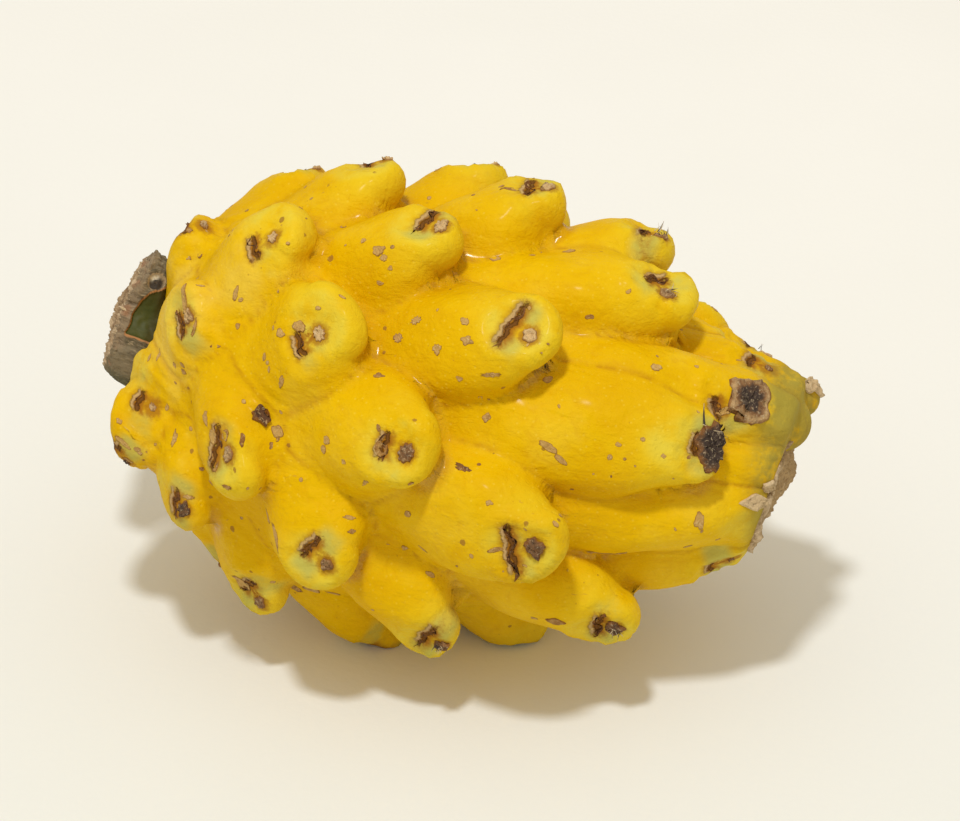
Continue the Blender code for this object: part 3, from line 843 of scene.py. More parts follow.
def crusts(name, places, axes, outlines, shares, rises, rough, traits, seed, bow=0.0):
    """Closed crusts on the skin: rings of each outline's shares, settled on the skin, then raised.

    Outlines are steps along and across at each turn. The rises belong to the rings above the skin, in
    millimetres for each form, ring and turn; the last two rings close the form below it. Ripples add a
    rough relief to the upper rings, and waves bow long forms to and fro.
    """
    forms, around = outlines.shape[:2]
    flat = outlines[:, None] * np.array(shares)[None, :, None, None]
    number = np.arange(forms)[:, None, None]
    bow = bow * (0.3 + 1.4 * fair_lots(forms, CRACK_LOT_STEP)[:, None, None])
    wave = np.sin(1.4 * flat[..., 1] + 1.9 * number) + 0.5 * np.sin(3.7 * flat[..., 1] + 2.7 * number)
    flat[..., 0] += bow * wave
    steps = flat[..., :1] * axes[:, None, None, :, 0] + flat[..., 1:] * axes[:, None, None, :, 1]
    points = (places[:, None, None] + steps).reshape(-1, 3)
    for _ in range(SETTLE_ROUNDS):
        points = settle(points, dented=True)
    outs = unit(slope_there(points, dented=True)[1])
    up = np.full((forms, len(shares), around), CRUST_SUNK)
    above = len(shares) - 2
    relief = ripples(points, 0.55, seed) + 0.6 * ripples(points, 0.26, seed + 1)
    relief = relief.reshape(up.shape)[:, :above] * rough
    fade = np.array([min(1.0, 5.0 * (1.0 - share)) for share in shares[:above]])
    up[:, :above] = np.maximum(rises + relief * fade[None, :, None], LEAST_RISE)
    grid = (points + outs * up.reshape(-1, 1)).reshape(up.shape + (3,))
    marks = {"share": np.broadcast_to(np.array(shares)[None, :, None], up.shape).copy()}
    for trait, values in traits.items():
        marks[trait] = np.broadcast_to(np.reshape(values, (-1, 1, 1)), up.shape).copy()
    laid = in_row_frame(grid)
    clear = laid[..., 2].min(axis=(1, 2)) > 0.0
    return closed_forms(name, laid[clear], {mark: values[clear] for mark, values in marks.items()})


def turned_left(x, y, degrees):
    """Outlines turned to the left, by one angle or by one for each."""
    turn = np.reshape(np.radians(degrees), (-1, 1))
    return np.stack((x * np.cos(turn) - y * np.sin(turn), x * np.sin(turn) + y * np.cos(turn)), axis=-1)


def ovals(along, across, degrees, around):
    """Outlines as ovals: half lengths along and across, turned to the left by an angle."""
    phase = np.arange(around) * 2.0 * math.pi / around
    return turned_left(along[:, None] * np.cos(phase), across[:, None] * np.sin(phase), degrees)


def make_buttons():
    """Rings with a sunken middle; the darker a button is, the more it swells into a lump."""
    radius, large = button_radii, button_radii > LARGE_BUTTON
    uneven = (ragged(len(radius), BUTTON_AROUND, 0.16, 21) - 1.0) * np.where(large, 0.55, 1.0)[:, None]
    across = BUTTON_WIDER * radius
    across[TORN_TIP] *= TORN_TIP_WIDER
    outlines = ovals(radius, across, 0.0, BUTTON_AROUND) * (1.0 + uneven)[..., None]
    lump = np.clip(button_darks - 0.2, 0.0, 0.6)[:, None]
    rises = (1.0 - lump) * np.array(BUTTON_RISES) + lump * np.array(LUMP_RISES)
    rises = rises * np.minimum(radius, LARGE_BUTTON)[:, None] * BUTTON_HEIGHT
    axes = skin_axes(button_places, scab_headings)
    rough = np.where(large, 0.26, 0.12)[:, None, None]
    traits = {"dark": button_darks, "lot": fair_lots(len(radius)), "size": radius}
    return crusts("scab_buttons", button_places, axes, outlines, BUTTON_SHARES, rises[..., None], rough,
                  traits, 31)


def make_cracks():
    """Long ovals across the tubercle, bent and jagged, with a sunk middle and curled torn edges."""
    count, wide = len(crack_halves), CRACK_THINNER * crack_widths
    jagged = ragged(count, CRACK_AROUND, 0.3, 22, (3, 5, 8, 11, 15))
    outlines = ovals(wide, crack_halves, 0.0, CRACK_AROUND) * jagged[..., None]
    turn = np.arange(CRACK_AROUND) * 2.0 * math.pi / CRACK_AROUND
    torn = 0.6 - 0.4 * np.cos(turn[None]) + 0.3 * np.sin(5.0 * turn[None] + np.arange(count)[:, None])
    curled = np.array(CRACK_RISES)[None, :, None] * torn[:, None, :]
    rises = curled * np.minimum(0.9, wide / 0.6)[:, None, None]
    axes = skin_axes(crack_places, scab_headings)
    traits = {"dark": 0.7, "lot": fair_lots(count, CRACK_LOT_STEP), "size": wide}
    return crusts("scab_cracks", crack_places, axes, outlines, BUTTON_SHARES, rises, 0.12, traits, 33,
                  bow=0.34)


def cork_finish(name, tan, brown, black, grain, edge, pale):
    """Dry cork: fibres and grains over a tone from tan to black, darker in wide hollows, and its edge."""
    material, shader, place = new_finish(name, 0.85, Specular_IOR_Level=0.25)
    share, dark, lot = stored(place, "share"), stored(place, "dark"), stored(place, "lot")
    coarse = place.noise(grain * 2.5, 3.0)
    fine = place.noise(grain, 4.0, 0.65)
    fibre = place.squeezed(1.0, 0.35, 1.0).noise(grain * 0.8, 3.0, 0.6, 0.8)
    wide = stored(place, "size").rise(1.3, 2.6)
    hollow = (share + (coarse - 0.5) * 1.1).rise(0.8, 0.3)
    tone = dark + (coarse - 0.5) * 0.9 + (lot - 0.5) * 0.2 + wide * (hollow * 0.7 - 0.1)
    colour = tone.rise(0.25, 0.7).stain(tan, brown)
    colour = tone.rise(0.65, 1.1).stain(colour, black)
    colour = (fibre.rise(0.54, 0.70) * 0.6).stain(colour, pale)
    colour = (fine.rise(0.44, 0.28) * 0.45).stain(colour, (0.11, 0.05, 0.022))
    rim = (share + (fine - 0.5) * 0.5).rise(0.78, 1.0)
    colour = (rim * 0.75).stain(colour, edge)
    height = fine * 0.0002 + fibre * 0.00025
    feed(shader, place, Base_Color=colour, height=height)
    return material


# Tan, brown and black, grain size in metres, edge and pale fibres
BUTTON_CORK = ((0.66, 0.45, 0.21), (0.25, 0.125, 0.05), (0.06, 0.040, 0.030), 0.00045, (0.28, 0.11, 0.02),
               (0.66, 0.52, 0.32))
CRACK_CORK = ((0.33, 0.17, 0.055), (0.19, 0.07, 0.018), (0.055, 0.024, 0.012), 0.0004, (0.30, 0.12, 0.014),
              (0.42, 0.28, 0.14))
for crust, cork in ((make_buttons(), BUTTON_CORK), (make_cracks(), CRACK_CORK)):
    crust.data.materials.append(cork_finish(crust.name, *cork))
    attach(crust, "root")


# Corky spots. Rubs, insect bites and small splits healed over with thin tan cork that has a darker
# rim. The seen ones stand where the photographed fruit has them; small ones are strewn all round.
# Station and angle, half length, half width, turn of the length and darkness from 0 to 1
SEEN_SPOTS = (
    (50.6, 66.5, 1.25, 0.95, 80, 0.85), (36.2, 42, 1.3, 1.15, 0, 0.45),
    (42.1, 67.6, 0.85, 0.8, 0, 0.25), (41.6, 70.2, 0.85, 0.75, 0, 0.3),
    (45.2, 71.5, 0.5, 0.45, 0, 0.2), (48.6, 75.5, 1.3, 0.4, 60, 0.25),
    (38.0, 81, 0.4, 0.4, 0, 0.3), (45.6, 88, 1.2, 0.35, 0, 0.35),
    (46.2, 91, 0.8, 0.4, 10, 0.55), (54.0, 85, 0.75, 0.6, 0, 0.35),
    (56.0, 96, 1.1, 0.4, 170, 0.4), (50.2, 101, 0.45, 0.4, 0, 0.3),
    (52.6, 101, 0.6, 0.5, 0, 0.3), (56.6, 107, 0.9, 0.5, 150, 0.45),
    (31.4, 66, 1.8, 1.7, 0, 1.3), (33.8, 69.5, 1.3, 1.0, 120, 0.3),
    (34.0, 71.5, 0.6, 0.35, 80, 0.75), (33.2, 73.5, 0.7, 0.35, 90, 0.7),
    (24.6, 75, 1.5, 0.8, 120, 0.45), (25.4, 81, 1.5, 0.8, 100, 0.6),
    (23.4, 71, 1.4, 0.5, 95, 0.35), (28.2, 84, 1.0, 0.45, 15, 0.6),
    (33.6, 44, 0.9, 0.7, 0, 0.3), (32.2, 42.6, 0.5, 0.45, 0, 0.25),
    (31.0, 50, 0.8, 0.5, 80, 0.4), (32.0, 53, 0.6, 0.35, 70, 0.2),
    (34.2, 55.5, 1.5, 0.5, 75, 0.55), (25.5, 42, 0.55, 0.45, 60, 0.7),
    (24.6, 33.5, 1.5, 0.5, 80, 0.5), (22.4, 50, 1.1, 0.35, 20, 0.75),
    (15.4, 11, 0.7, 0.55, 0, 0.6), (13.6, 12, 0.6, 0.35, 10, 0.45),
    (12.8, 4, 0.8, 0.6, 0, 0.6), (16.6, 41, 1.5, 0.8, 85, 0.4),
    (18.8, 33, 0.8, 0.3, 15, 0.4), (17.2, 60, 0.7, 0.5, 0, 0.5),
    (15.4, 62, 0.6, 0.45, 0, 0.4), (17.4, 62.5, 0.6, 0.5, 0, 0.4),
    (12.0, 62, 1.3, 0.3, 80, 0.3), (10.2, 66, 0.8, 0.35, 70, 0.4),
    (7.6, 93, 0.6, 0.5, 0, 0.4), (8.4, 98.5, 1.9, 0.5, 165, 0.35),
    (10.8, 99.5, 0.8, 0.6, 0, 0.4), (8.8, 106, 1.1, 0.4, 10, 0.55),
    (16.4, 90, 1.6, 0.5, 75, 0.2), (14.2, 82, 0.6, 0.35, 90, 0.3),
    (20.0, 101, 1.3, 0.4, 10, 0.6), (34.8, 97, 2.6, 0.65, 125, 0.4),
    (33.0, 95, 1.3, 0.5, 130, 0.3), (52.0, 34.5, 1.1, 0.8, 0, 0.3),
    (49.6, 38.8, 1.05, 0.85, 0, 0.45), (56.0, 42, 0.95, 0.85, 0, 0.35),
    (59.6, 35.6, 0.9, 0.7, 0, 0.2), (60.4, 40, 1.15, 0.85, 0, 0.3),
    (48.2, 50, 1.0, 0.6, 0, 0.75), (59.8, 48.5, 0.6, 0.5, 0, 0.3),
    (44.8, 18.6, 1.3, 1.0, 0, 0.25), (45.8, 20.4, 0.8, 0.6, 0, 0.3),
    (47.0, 22.5, 0.5, 0.4, 0, 0.3), (42.0, 15, 0.6, 0.5, 0, 0.2),
    (45.6, 25, 0.7, 0.4, 0, 0.5), (37.2, 4, 0.7, 0.5, 0, 0.7),
    (46.4, -30, 0.8, 0.5, 0, 0.5), (59.8, -11, 1.9, 0.45, 20, 0.5),
    (65.2, -5, 1.1, 0.6, 85, 0.6), (59.6, 4, 1.0, 0.7, 0, 0.3),
    (58.4, -12, 0.5, 0.4, 0, 0.4), (69.6, -4, 1.2, 0.9, 0, 0.1),
    (62.0, 18, 0.45, 0.35, 0, 0.6), (75.0, 20, 0.7, 0.55, 0, 0.5),
    (85.4, 32, 1.05, 0.7, 0, 0.2), (63.6, 57, 0.9, 0.7, 60, 0.3),
    (90.2, 9, 1.3, 0.5, 80, 0.1), (72.8, 63, 1.9, 0.7, 160, 0.4),
    (74.6, 66.4, 1.5, 0.55, 140, 0.35), (82.4, 60, 0.5, 0.45, 0, 0.3),
    (85.6, 57.6, 0.45, 0.4, 0, 0.3), (81.4, 64, 0.55, 0.45, 0, 0.4),
    (88.6, 62, 0.45, 0.4, 0, 0.3), (93.6, 89, 1.7, 0.9, 95, 0.3),
    (66.2, 77, 0.6, 0.5, 0, 0.2), (75.4, 81, 0.6, 0.5, 0, 0.1),
    (67.6, 88, 1.4, 0.5, 5, 0.6), (64.0, 91, 0.5, 0.4, 0, 0.2),
    (78.6, 105.5, 4.2, 0.5, 3, 0.35), (82.6, 104, 1.8, 0.6, 30, 0.25),
    (82.2, 108.6, 2.2, 0.5, 12, 0.65), (92.0, 102.5, 0.9, 0.35, 15, 0.55),
    (74.6, 119, 1.8, 1.0, 165, 0.8), (71.4, 119, 0.7, 0.4, 0, 0.55),
    (68.2, 30.6, 0.45, 0.4, 0, 0.4), (71.2, 43.6, 0.9, 0.7, 45, 0.55),
    (64.4, 47, 1.7, 0.45, 8, 0.4), (62.6, 52, 0.45, 0.4, 0, 0.4),
    (95.3, 41.5, 1.3, 0.8, 5, 0.45), (90.6, 26, 0.4, 0.35, 0, 0.3),
    (16.5, 38, 2.6, 0.8, 95, 0.45), (19.2, 47, 1.5, 0.5, 80, 0.55),
    (61.5, 70.5, 1.7, 0.6, 160, 1.2), (50.0, 62.5, 0.9, 0.35, 95, 0.9),
    (29.6, 72.5, 1.2, 0.5, 100, 0.8), (26.6, 72.8, 1.1, 0.6, 80, 0.6),
)

# Rings and rises of a seen spot's crust and of a strewn one's, as for the scabs
SPOT_SHARES = (0.0, 0.4, 0.68, 0.86, 1.0, 0.85, 0.0)
SPOT_RISES = (0.55, 0.5, 0.75, 0.8, 0.12)
STREWN_SHARES = (0.0, 0.7, 1.0, 0.8, 0.0)
STREWN_RISES = (0.6, 0.8, 0.1)
SPOT_SCALE = 0.8
STREWN_STEMWARD = 90
STREWN_ELSEWHERE = 150

# The heading that a spot's turn is counted from
AHEAD = np.array((1.0, 0.0, 0.0))


def make_spots(name, table, around, shares, rises, height, rough, seed):
    """Low crusts at each row's station and angle, with angular outlines and a raised rim."""
    stations, angles, along, across, turns, dark = table.T
    places = on_skin(stations, angles)
    axes = skin_axes(places, AHEAD)
    outlines = ovals(SPOT_SCALE * along, SPOT_SCALE * across, turns, around)
    outlines = outlines * ragged(len(table), around, 0.2, seed)[..., None]
    small = np.minimum(1.0, across)[:, None, None]
    swell = 1.0 + 6.0 * np.clip(across - 0.85, 0.0, 1.0)[:, None, None] * dark[:, None, None]
    raised = height * np.array(rises)[None, :, None] * small * swell
    traits = {"dark": 0.75 * dark, "lot": fair_lots(len(table)), "size": across}
    return crusts(name, places, axes, outlines, shares, raised, rough, traits, seed)


def strewn_spots():
    """Drawn places all round, thicker at the stem end and on the side that the photo doesn't show."""
    draw = np.random.default_rng(4)
    count = STREWN_STEMWARD + STREWN_ELSEWHERE
    station = np.concatenate((draw.uniform(10, 34, STREWN_STEMWARD),
                              draw.uniform(30, 96, STREWN_ELSEWHERE)))
    angle = np.concatenate((draw.uniform(-180, 180, STREWN_STEMWARD),
                            draw.uniform(-20, 340, STREWN_ELSEWHERE)))
    hidden = (angle % 360.0 > 125.0) & (angle % 360.0 < 325.0)
    size = np.where(hidden, draw.uniform(0.25, 1.25, count), draw.uniform(0.16, 0.42, count))
    return np.stack((station, angle, size * draw.uniform(1.0, 1.9, count), size,
                     draw.uniform(0, 180, count), draw.uniform(0.2, 0.7, count)), axis=1)


SPOT_CORK = ((0.56, 0.34, 0.10), (0.30, 0.135, 0.035), (0.10, 0.045, 0.022), 0.0005, (0.30, 0.12, 0.015),
             (0.68, 0.50, 0.24))
spot_cork = cork_finish("spot_cork", *SPOT_CORK)
seen_spots = np.array(SEEN_SPOTS, dtype=float)
for spots in (
    make_spots("corky_spots", seen_spots, 18, SPOT_SHARES, SPOT_RISES, 0.15, 0.05, 51),
    make_spots("strewn_spots", strewn_spots(), 8, STREWN_SHARES, STREWN_RISES, 0.08, 0.02, 53),
):
    spots.data.materials.append(spot_cork)
    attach(spots, "root")


# Spines. Most fell with the ripe fruit; a few short dark ones and pale bristles are left in the dry
# scabs, and two longer ones stand on scabs that face the camera.
SPINE_SHARES = (0.0, 0.02, 0.25, 0.5, 0.75, 0.97, 1.0)
SPINE_WIDTHS = (0.0, 1.0, 0.85, 0.68, 0.45, 0.18, 0.0)
SPINE_SIDES = 5
BRISTLY_SCABS = (25, 22, 23, 24, 16)
BRISTLES_EACH = 9
HIDDEN_BRISTLES = 26

# The two longer spines: stations, angles, headings, lengths and radii, and how dark they are
LONG_STATIONS = np.array((93.4, 81.2))
LONG_ANGLES = np.array((50.0, -17.0))
LONG_HEADINGS = np.array(((-0.12, 0.42, 0.9), (0.35, 0.2, 0.9)))
LONG_LENGTHS = (3.1, 2.0)
LONG_RADII = (0.17, 0.13)
LONG_DARK = (0.95, 0.95)


def spines(name, feet, tips, thick, bow, beat, lots):
    """Thin rods: rings along a line from foot to tip that is bowed to a side, thinning all the way."""
    share, width = np.array(SPINE_SHARES), np.array(SPINE_WIDTHS)
    bows = bow * np.sin(np.arange(len(feet) * 3) * beat).reshape(-1, 3)
    line = feet[:, None] + (tips - feet)[:, None] * share[None, :, None]
    line = line + bows[:, None] * (4.0 * share * (1.0 - share))[None, :, None]
    heading = unit(tips - feet)
    side = unit(np.cross(heading, np.array((0.31, 0.87, 0.38))))
    other = np.cross(heading, side)
    turn = np.arange(SPINE_SIDES) * 2.0 * math.pi / SPINE_SIDES
    spoke = np.cos(turn)[:, None] * side[:, None, None] + np.sin(turn)[:, None] * other[:, None, None]
    grid = line[:, :, None] + spoke * (width[None, :] * thick[:, None])[:, :, None, None]
    shares = np.broadcast_to(share[None, :, None], grid.shape[:3]).copy()
    lots = np.broadcast_to(lots[:, None, None], grid.shape[:3]).copy()
    return closed_forms(name, grid * 0.001, {"share": shares, "lot": lots})


def bristle_ends():
    """Feet drawn inside the buttons of some scabs, and tips that spread outward from them."""
    draw = np.random.default_rng(8)
    others = draw.integers(len(SEEN_SCABS), len(scab_table), HIDDEN_BRISTLES)
    hosts = np.concatenate((np.repeat(BRISTLY_SCABS, BRISTLES_EACH), others))
    spread = draw.normal(0.0, 0.45, (len(hosts), 2)) * button_radii[hosts, None]
    axes = scab_axes[hosts]
    feet = button_places[hosts] + axes[:, :, 0] * spread[:, :1] + axes[:, :, 1] * spread[:, 1:]
    outward = axes[:, :, 2] + draw.normal(0.0, 0.55, (len(hosts), 3))
    feet, length = settle(feet), draw.uniform(0.7, 1.7, len(hosts))
    lots, thick = draw.uniform(0.0, 1.0, len(hosts)), draw.uniform(0.05, 0.09, len(hosts))
    feet = np.concatenate((feet, settle(on_skin(LONG_STATIONS, LONG_ANGLES))))
    outward = np.concatenate((unit(outward), unit(LONG_HEADINGS)))
    tips = feet + outward * np.append(length, LONG_LENGTHS)[:, None]
    thick, lots = np.append(thick, LONG_RADII), np.append(lots, LONG_DARK)
    clear = np.minimum(in_row_frame(feet)[:, 2], in_row_frame(tips)[:, 2]) > 0.0005
    return feet[clear], tips[clear], thick[clear], lots[clear]


def spine_finish():
    """Horny spines: pale straw or near black, paler toward the tip."""
    material, shader, place = new_finish("dry_spine", 0.55)
    tone = stored(place, "lot") + (place.noise(0.0006, 2.0) - 0.5) * 0.3
    colour = tone.rise(0.45, 0.65).stain((0.60, 0.48, 0.30), (0.035, 0.025, 0.025))
    colour = (stored(place, "share").rise(0.6, 1.0) * 0.75).stain(colour, (0.62, 0.52, 0.40))
    feed(shader, place, Base_Color=colour, height=place.noise(0.0003, 2.0) * 0.00004)
    return material


feet, tips, thick, lots = bristle_ends()
bristles = spines("scab_spines", 1000.0 * in_row_frame(feet), 1000.0 * in_row_frame(tips), thick,
                  bow=0.12, beat=2.3, lots=lots)
bristles.data.materials.append(spine_finish())
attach(bristles, "root")


# Stem stub. A short piece of the cactus stem that the fruit was cut off with: three ribs of dry bark
# round a core, one hollow face between them still green, an old areole on the upper rib and a sawn
# end with a torn rim. It narrows into the fruit's stem pole, where it grew on.
STUB_FOOT = np.array((-45.9, 4.8, 40.2))
stub_heading = unit(np.array((-0.93, -0.12, 0.35)))
stub_front = np.array((0.2, -0.82, 0.53))
stub_front = unit(stub_front - stub_heading * (stub_front @ stub_heading))
stub_side = np.cross(stub_heading, stub_front)

# Turns of the three ribs, and the reach of each at steps along the stub from its foot
RIB_TURNS = (60.0, 180.0, 300.0)
RIB_STEPS = (-3.0, 0.0, 0.8, 2.4, 4.0, 5.2)
RIB_REACHES = (
    (4.5, 7.5, 9.7, 10.4, 10.9, 9.3),
    (4.5, 6.0, 7.4, 8.6, 9.4, 9.2),
    (5.5, 9.6, 11.3, 11.0, 10.4, 9.7),
)
STUB_FACE_DEPTH = 4.5
STUB_SPREAD = 29.0
STUB_CUT = 5.5
STUB_AROUND = 240
AREOLE_ALONG = 2.2
AREOLE_SIDE = 5.6
SPLINTERS = 54


def stub_rows():
    """Rows of along and share: up the sides from inside the fruit, over the rim and in to the middle."""
    sides = [(along, 1.0) for along in np.linspace(-2.6, STUB_CUT - 0.5, 58)]
    rim = ((STUB_CUT - 0.28, 0.995), (STUB_CUT - 0.12, 0.98), (STUB_CUT, 0.955))
    end = [(STUB_CUT, share) for share in np.linspace(0.93, 0.05, 26)]
    return np.array([(-3.0, 0.0), (-3.0, 0.6)] + sides + list(rim) + end + [(STUB_CUT, 0.0)])


def stub_reach(along, turn):
    """Reach from the stub's middle line at steps along it and at turns: its core, swelling at the ribs."""
    reach = np.full((len(along), len(turn)), STUB_FACE_DEPTH)
    for middle, reaches in zip(RIB_TURNS, RIB_REACHES):
        off = np.abs((np.degrees(turn) - middle + 180.0) % 360.0 - 180.0)
        rib = np.maximum(np.interp(along, RIB_STEPS, reaches) - STUB_FACE_DEPTH, 0.0)
        reach += rib[:, None] * np.exp(-((off / STUB_SPREAD) ** 2.4))
    return reach


def make_stub():
    """Stub's surface: the reach with bark fibres, folds, an areole and the cut.

    Bark lies a little proud of the green face; the folds run round the areole like ripples. The end
    domes slightly, with rings and a torn rim.
    """
    along, share = stub_rows().T
    turn = np.arange(STUB_AROUND) * 2.0 * math.pi / STUB_AROUND
    reach = stub_reach(along, turn)
    front, side = reach * np.cos(turn) * share[:, None], reach * np.sin(turn) * share[:, None]
    ahead = np.broadcast_to(along[:, None], reach.shape).copy()
    cut = np.clip((along - 3.6) / (STUB_CUT - 3.6), 0.0, 1.0)[:, None]
    ahead -= cut * (0.005 * side**2 + 0.004 * front**2)
    place = np.stack((ahead, side, front), axis=-1)
    flat = place.reshape(-1, 3)

    # How green each place is: the face between two torn edges
    walls = (share > 0.99)[:, None] * np.clip(along + 2.4, 0.0, 1.0)[:, None]
    edge = 3.95 - 0.16 * np.maximum(side - 0.5, 0.0) ** 1.9 + 0.08 * np.sin(2.1 * side + 1.0)
    torn = 0.09 * ripples(flat, 1.6, 61).reshape(reach.shape)
    green = np.clip((edge + torn - ahead) / 0.35, 0.0, 1.0) * np.clip((side + 3.1 + torn) / 0.4, 0.0, 1.0)
    green = green * (front > 1.5)

    # How far bark stands out: fibres, folds, ripples round the areole and a lip at the green face
    areole = np.hypot(ahead - AREOLE_ALONG, side - AREOLE_SIDE) + 8.0 * (front < 0.0)
    fibres = ripples(flat * (0.22, 1.0, 1.0), 0.75, 62) + 0.7 * ripples(flat * (0.3, 1.0, 1.0), 0.36, 63)
    folds = ripples(flat * (1.0, 0.3, 0.3), 1.1, 64)
    bark = 0.3 + 0.17 * fibres.reshape(reach.shape) + 0.09 * folds.reshape(reach.shape) * (0.5 + cut)
    block = np.clip((-5.6 - side) / 1.2, 0.0, 1.0)
    bark = bark * (1.0 - 0.62 * block)
    ringed = 0.32 * np.sin(5.2 * areole) * np.exp(-((areole / 2.2) ** 2))
    bark += ringed - 0.5 * np.exp(-((areole / 0.75) ** 2))
    bark += 0.35 * np.exp(-(((edge + torn - ahead) / 0.3) ** 2)) * (side > -3.0) * (front > 1.5)
    grown = walls * ((1.0 - green) * bark + green * 0.05 * ripples(flat, 1.3, 65).reshape(reach.shape))
    away = np.hypot(front, side)
    spread = 1.0 + grown / np.maximum(away, 1.0)

    # The cut end: domed, ringed, rough and jagged at its rim
    end = (share < 0.99)[:, None] * (along > 0.0)[:, None]
    rings = 0.35 * np.exp(-(((share - 0.55) / 0.07) ** 2)) - 0.45 * np.exp(-(((share - 0.22) / 0.1) ** 2))
    ahead += end * (0.55 * (1.0 - share**2) - rings)[:, None]
    rough = ripples(flat, 0.9, 66) + 0.7 * ripples(flat, 0.4, 67)
    ahead += end * 0.16 * rough.reshape(reach.shape)
    jag = ripples(flat * (0.0, 1.0, 1.0), 1.5, 68) + 0.8 * ripples(flat * (0.0, 1.0, 1.0), 0.6, 69)
    ahead += 0.1 * jag.reshape(reach.shape) * cut * np.exp(-(((share - 1.0) / 0.12) ** 2))[:, None]
    grid = STUB_FOOT + ahead[..., None] * stub_heading + (side * spread)[..., None] * stub_side
    grid = grid + (front * spread)[..., None] * stub_front
    marks = {"stub_place": place[None], "green": green[None] * walls, "areole": areole[None],
             "cut_end": np.broadcast_to((1.0 - share)[:, None] * end, reach.shape)[None].copy()}
    return closed_forms("stem_stub_bark", grid[None] * 0.001, marks)


def bark_finish():
    """Grey-brown bark with pale fibres, a dark green face with a reddish edge, a tan sawn end, and painted
    shade toward the fruit.
    """
    material, shader, place = new_finish("stem_bark", 0.85, Specular_IOR_Level=0.25)
    spot = stored(place, "stub_place", "Vector")
    along, side, front = spot.part(0), spot.part(1), spot.part(2)
    green, areole, end = stored(place, "green"), stored(place, "areole"), stored(place, "cut_end")
    fibre = spot.squeezed(0.25, 1.0, 1.0).noise(0.45, 4.0, 0.65, 0.5)
    coarse = spot.squeezed(0.4, 1.0, 1.0).noise(1.7, 3.0)
    fine = spot.noise(0.28, 3.0, 0.6)
    colour = coarse.rise(0.35, 0.65).stain((0.105, 0.085, 0.048), (0.215, 0.175, 0.108))
    strip = (along + (coarse - 0.5) * 1.6).rise(2.9, 4.2) * side.rise(-6.5, -4.5)
    colour = (strip * 0.6).stain(colour, (0.34, 0.245, 0.15))
    block = side.rise(-4.6, -6.2)
    colour = (block * 0.8).stain(colour, (0.20, 0.155, 0.088))
    colour = (block * side.rise(-8.0, -9.6) * 0.8).stain(colour, (0.10, 0.10, 0.06))
    # Painted shade on the bark near the foot, where the stub meets the fruit
    colour = (along.rise(1.6, -0.2) * 0.8).stain(colour, (0.075, 0.06, 0.022))
    colour = (fibre.rise(0.55, 0.72) * (0.8 - block * 0.4)).stain(colour, (0.48, 0.37, 0.22))
    colour = (fibre.rise(0.47, 0.30) * (0.8 - block * 0.3)).stain(colour, (0.085, 0.055, 0.028))
    red = (along + (coarse - 0.5) * 1.5).rise(4.1, 5.0) * coarse.rise(0.48, 0.62)
    colour = (red * 0.4).stain(colour, (0.40, 0.15, 0.06))
    wave = areole * 5.5 + fine * 3.0
    rings = wave.math("SINE", wave)
    colour = (areole.rise(2.6, 1.2) * rings.rise(0.0, 0.8) * 0.7).stain(colour, (0.50, 0.36, 0.20))
    colour = (areole.rise(1.35, 0.7) * 0.9).stain(colour, (0.060, 0.048, 0.040))
    crescent = abs(areole - 0.85).rise(0.45, 0.15) * side.rise(5.3, 6.1) * along.rise(1.8, 2.5)
    colour = (crescent * 0.95).stain(colour, (0.66, 0.58, 0.42))
    leaf = coarse.rise(0.3, 0.7).stain((0.050, 0.062, 0.010), (0.075, 0.080, 0.016))
    # The green face turns browner toward its upper side, and darker toward the fruit as painted shade
    leaf = (side.rise(1.5, 5.0) * 0.6 + along.rise(1.6, 0.4) * 0.6).stain(leaf, (0.055, 0.042, 0.010))
    colour = green.rise(0.45, 0.75).stain(colour, leaf)
    rim = abs(green - 0.4).rise(0.36, 0.1) * front.rise(0.5, 2.0)
    colour = (rim * 0.85).stain(colour, (0.52, 0.24, 0.09))
    sawn = (fibre + coarse).rise(0.8, 1.2).stain((0.36, 0.24, 0.13), (0.60, 0.45, 0.28))
    colour = end.rise(0.01, 0.06).stain(colour, sawn)
    colour = (end.rise(0.3, 0.45) * end.rise(0.62, 0.5) * 0.6).stain(colour, (0.16, 0.09, 0.04))
    gloss = 0.88 - green.rise(0.4, 0.8) * 0.38 + fine * 0.08
    height = (fibre * 0.00028 + fine * 0.00012) * (1.0 - green * 0.85)
    feed(shader, place, Base_Color=colour, Roughness=gloss, height=height)
    return material


def splinter_ends():
    """Feet along the rim of the cut and tips a little out and on; one thorn before the green face."""
    draw = np.random.default_rng(9)
    turn = draw.uniform(0.0, 2.0 * math.pi, SPLINTERS)
    spoke = np.cos(turn)[:, None] * stub_front + np.sin(turn)[:, None] * stub_side
    reach = stub_reach(RIB_STEPS[-1:], turn)[0]
    along = STUB_CUT - 0.7 - 0.005 * (reach * np.sin(turn)) ** 2
    feet = STUB_FOOT + along[:, None] * stub_heading + spoke * (reach * 0.97)[:, None]
    lean = spoke * draw.uniform(0.0, 0.8, (SPLINTERS, 1)) + stub_heading
    lean = lean + draw.normal(0.0, 0.35, (SPLINTERS, 3))
    tips = feet + unit(lean) * draw.uniform(0.5, 1.3, (SPLINTERS, 1))
    thorn = STUB_FOOT + 4.5 * stub_heading + 4.3 * stub_front + 0.2 * stub_side
    feet = np.concatenate((feet, thorn[None]))
    tips = np.concatenate((tips, (thorn + 1.7 * stub_heading + 0.9 * stub_front + 0.3 * stub_side)[None]))
    return feet, tips, np.append(draw.uniform(0.06, 0.14, SPLINTERS), 0.34)


stub = make_stub()
stub.data.materials.append(bark_finish())
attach(stub, "root")
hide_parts("stem_stub")
feet, tips, thick = splinter_ends()
splinters = spines("stub_splinters", feet, tips, thick, bow=0.1, beat=1.7,
                   lots=0.35 * fair_lots(len(feet)))
splinters.data.materials.append(bristles.data.materials[0])
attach(splinters, "root")


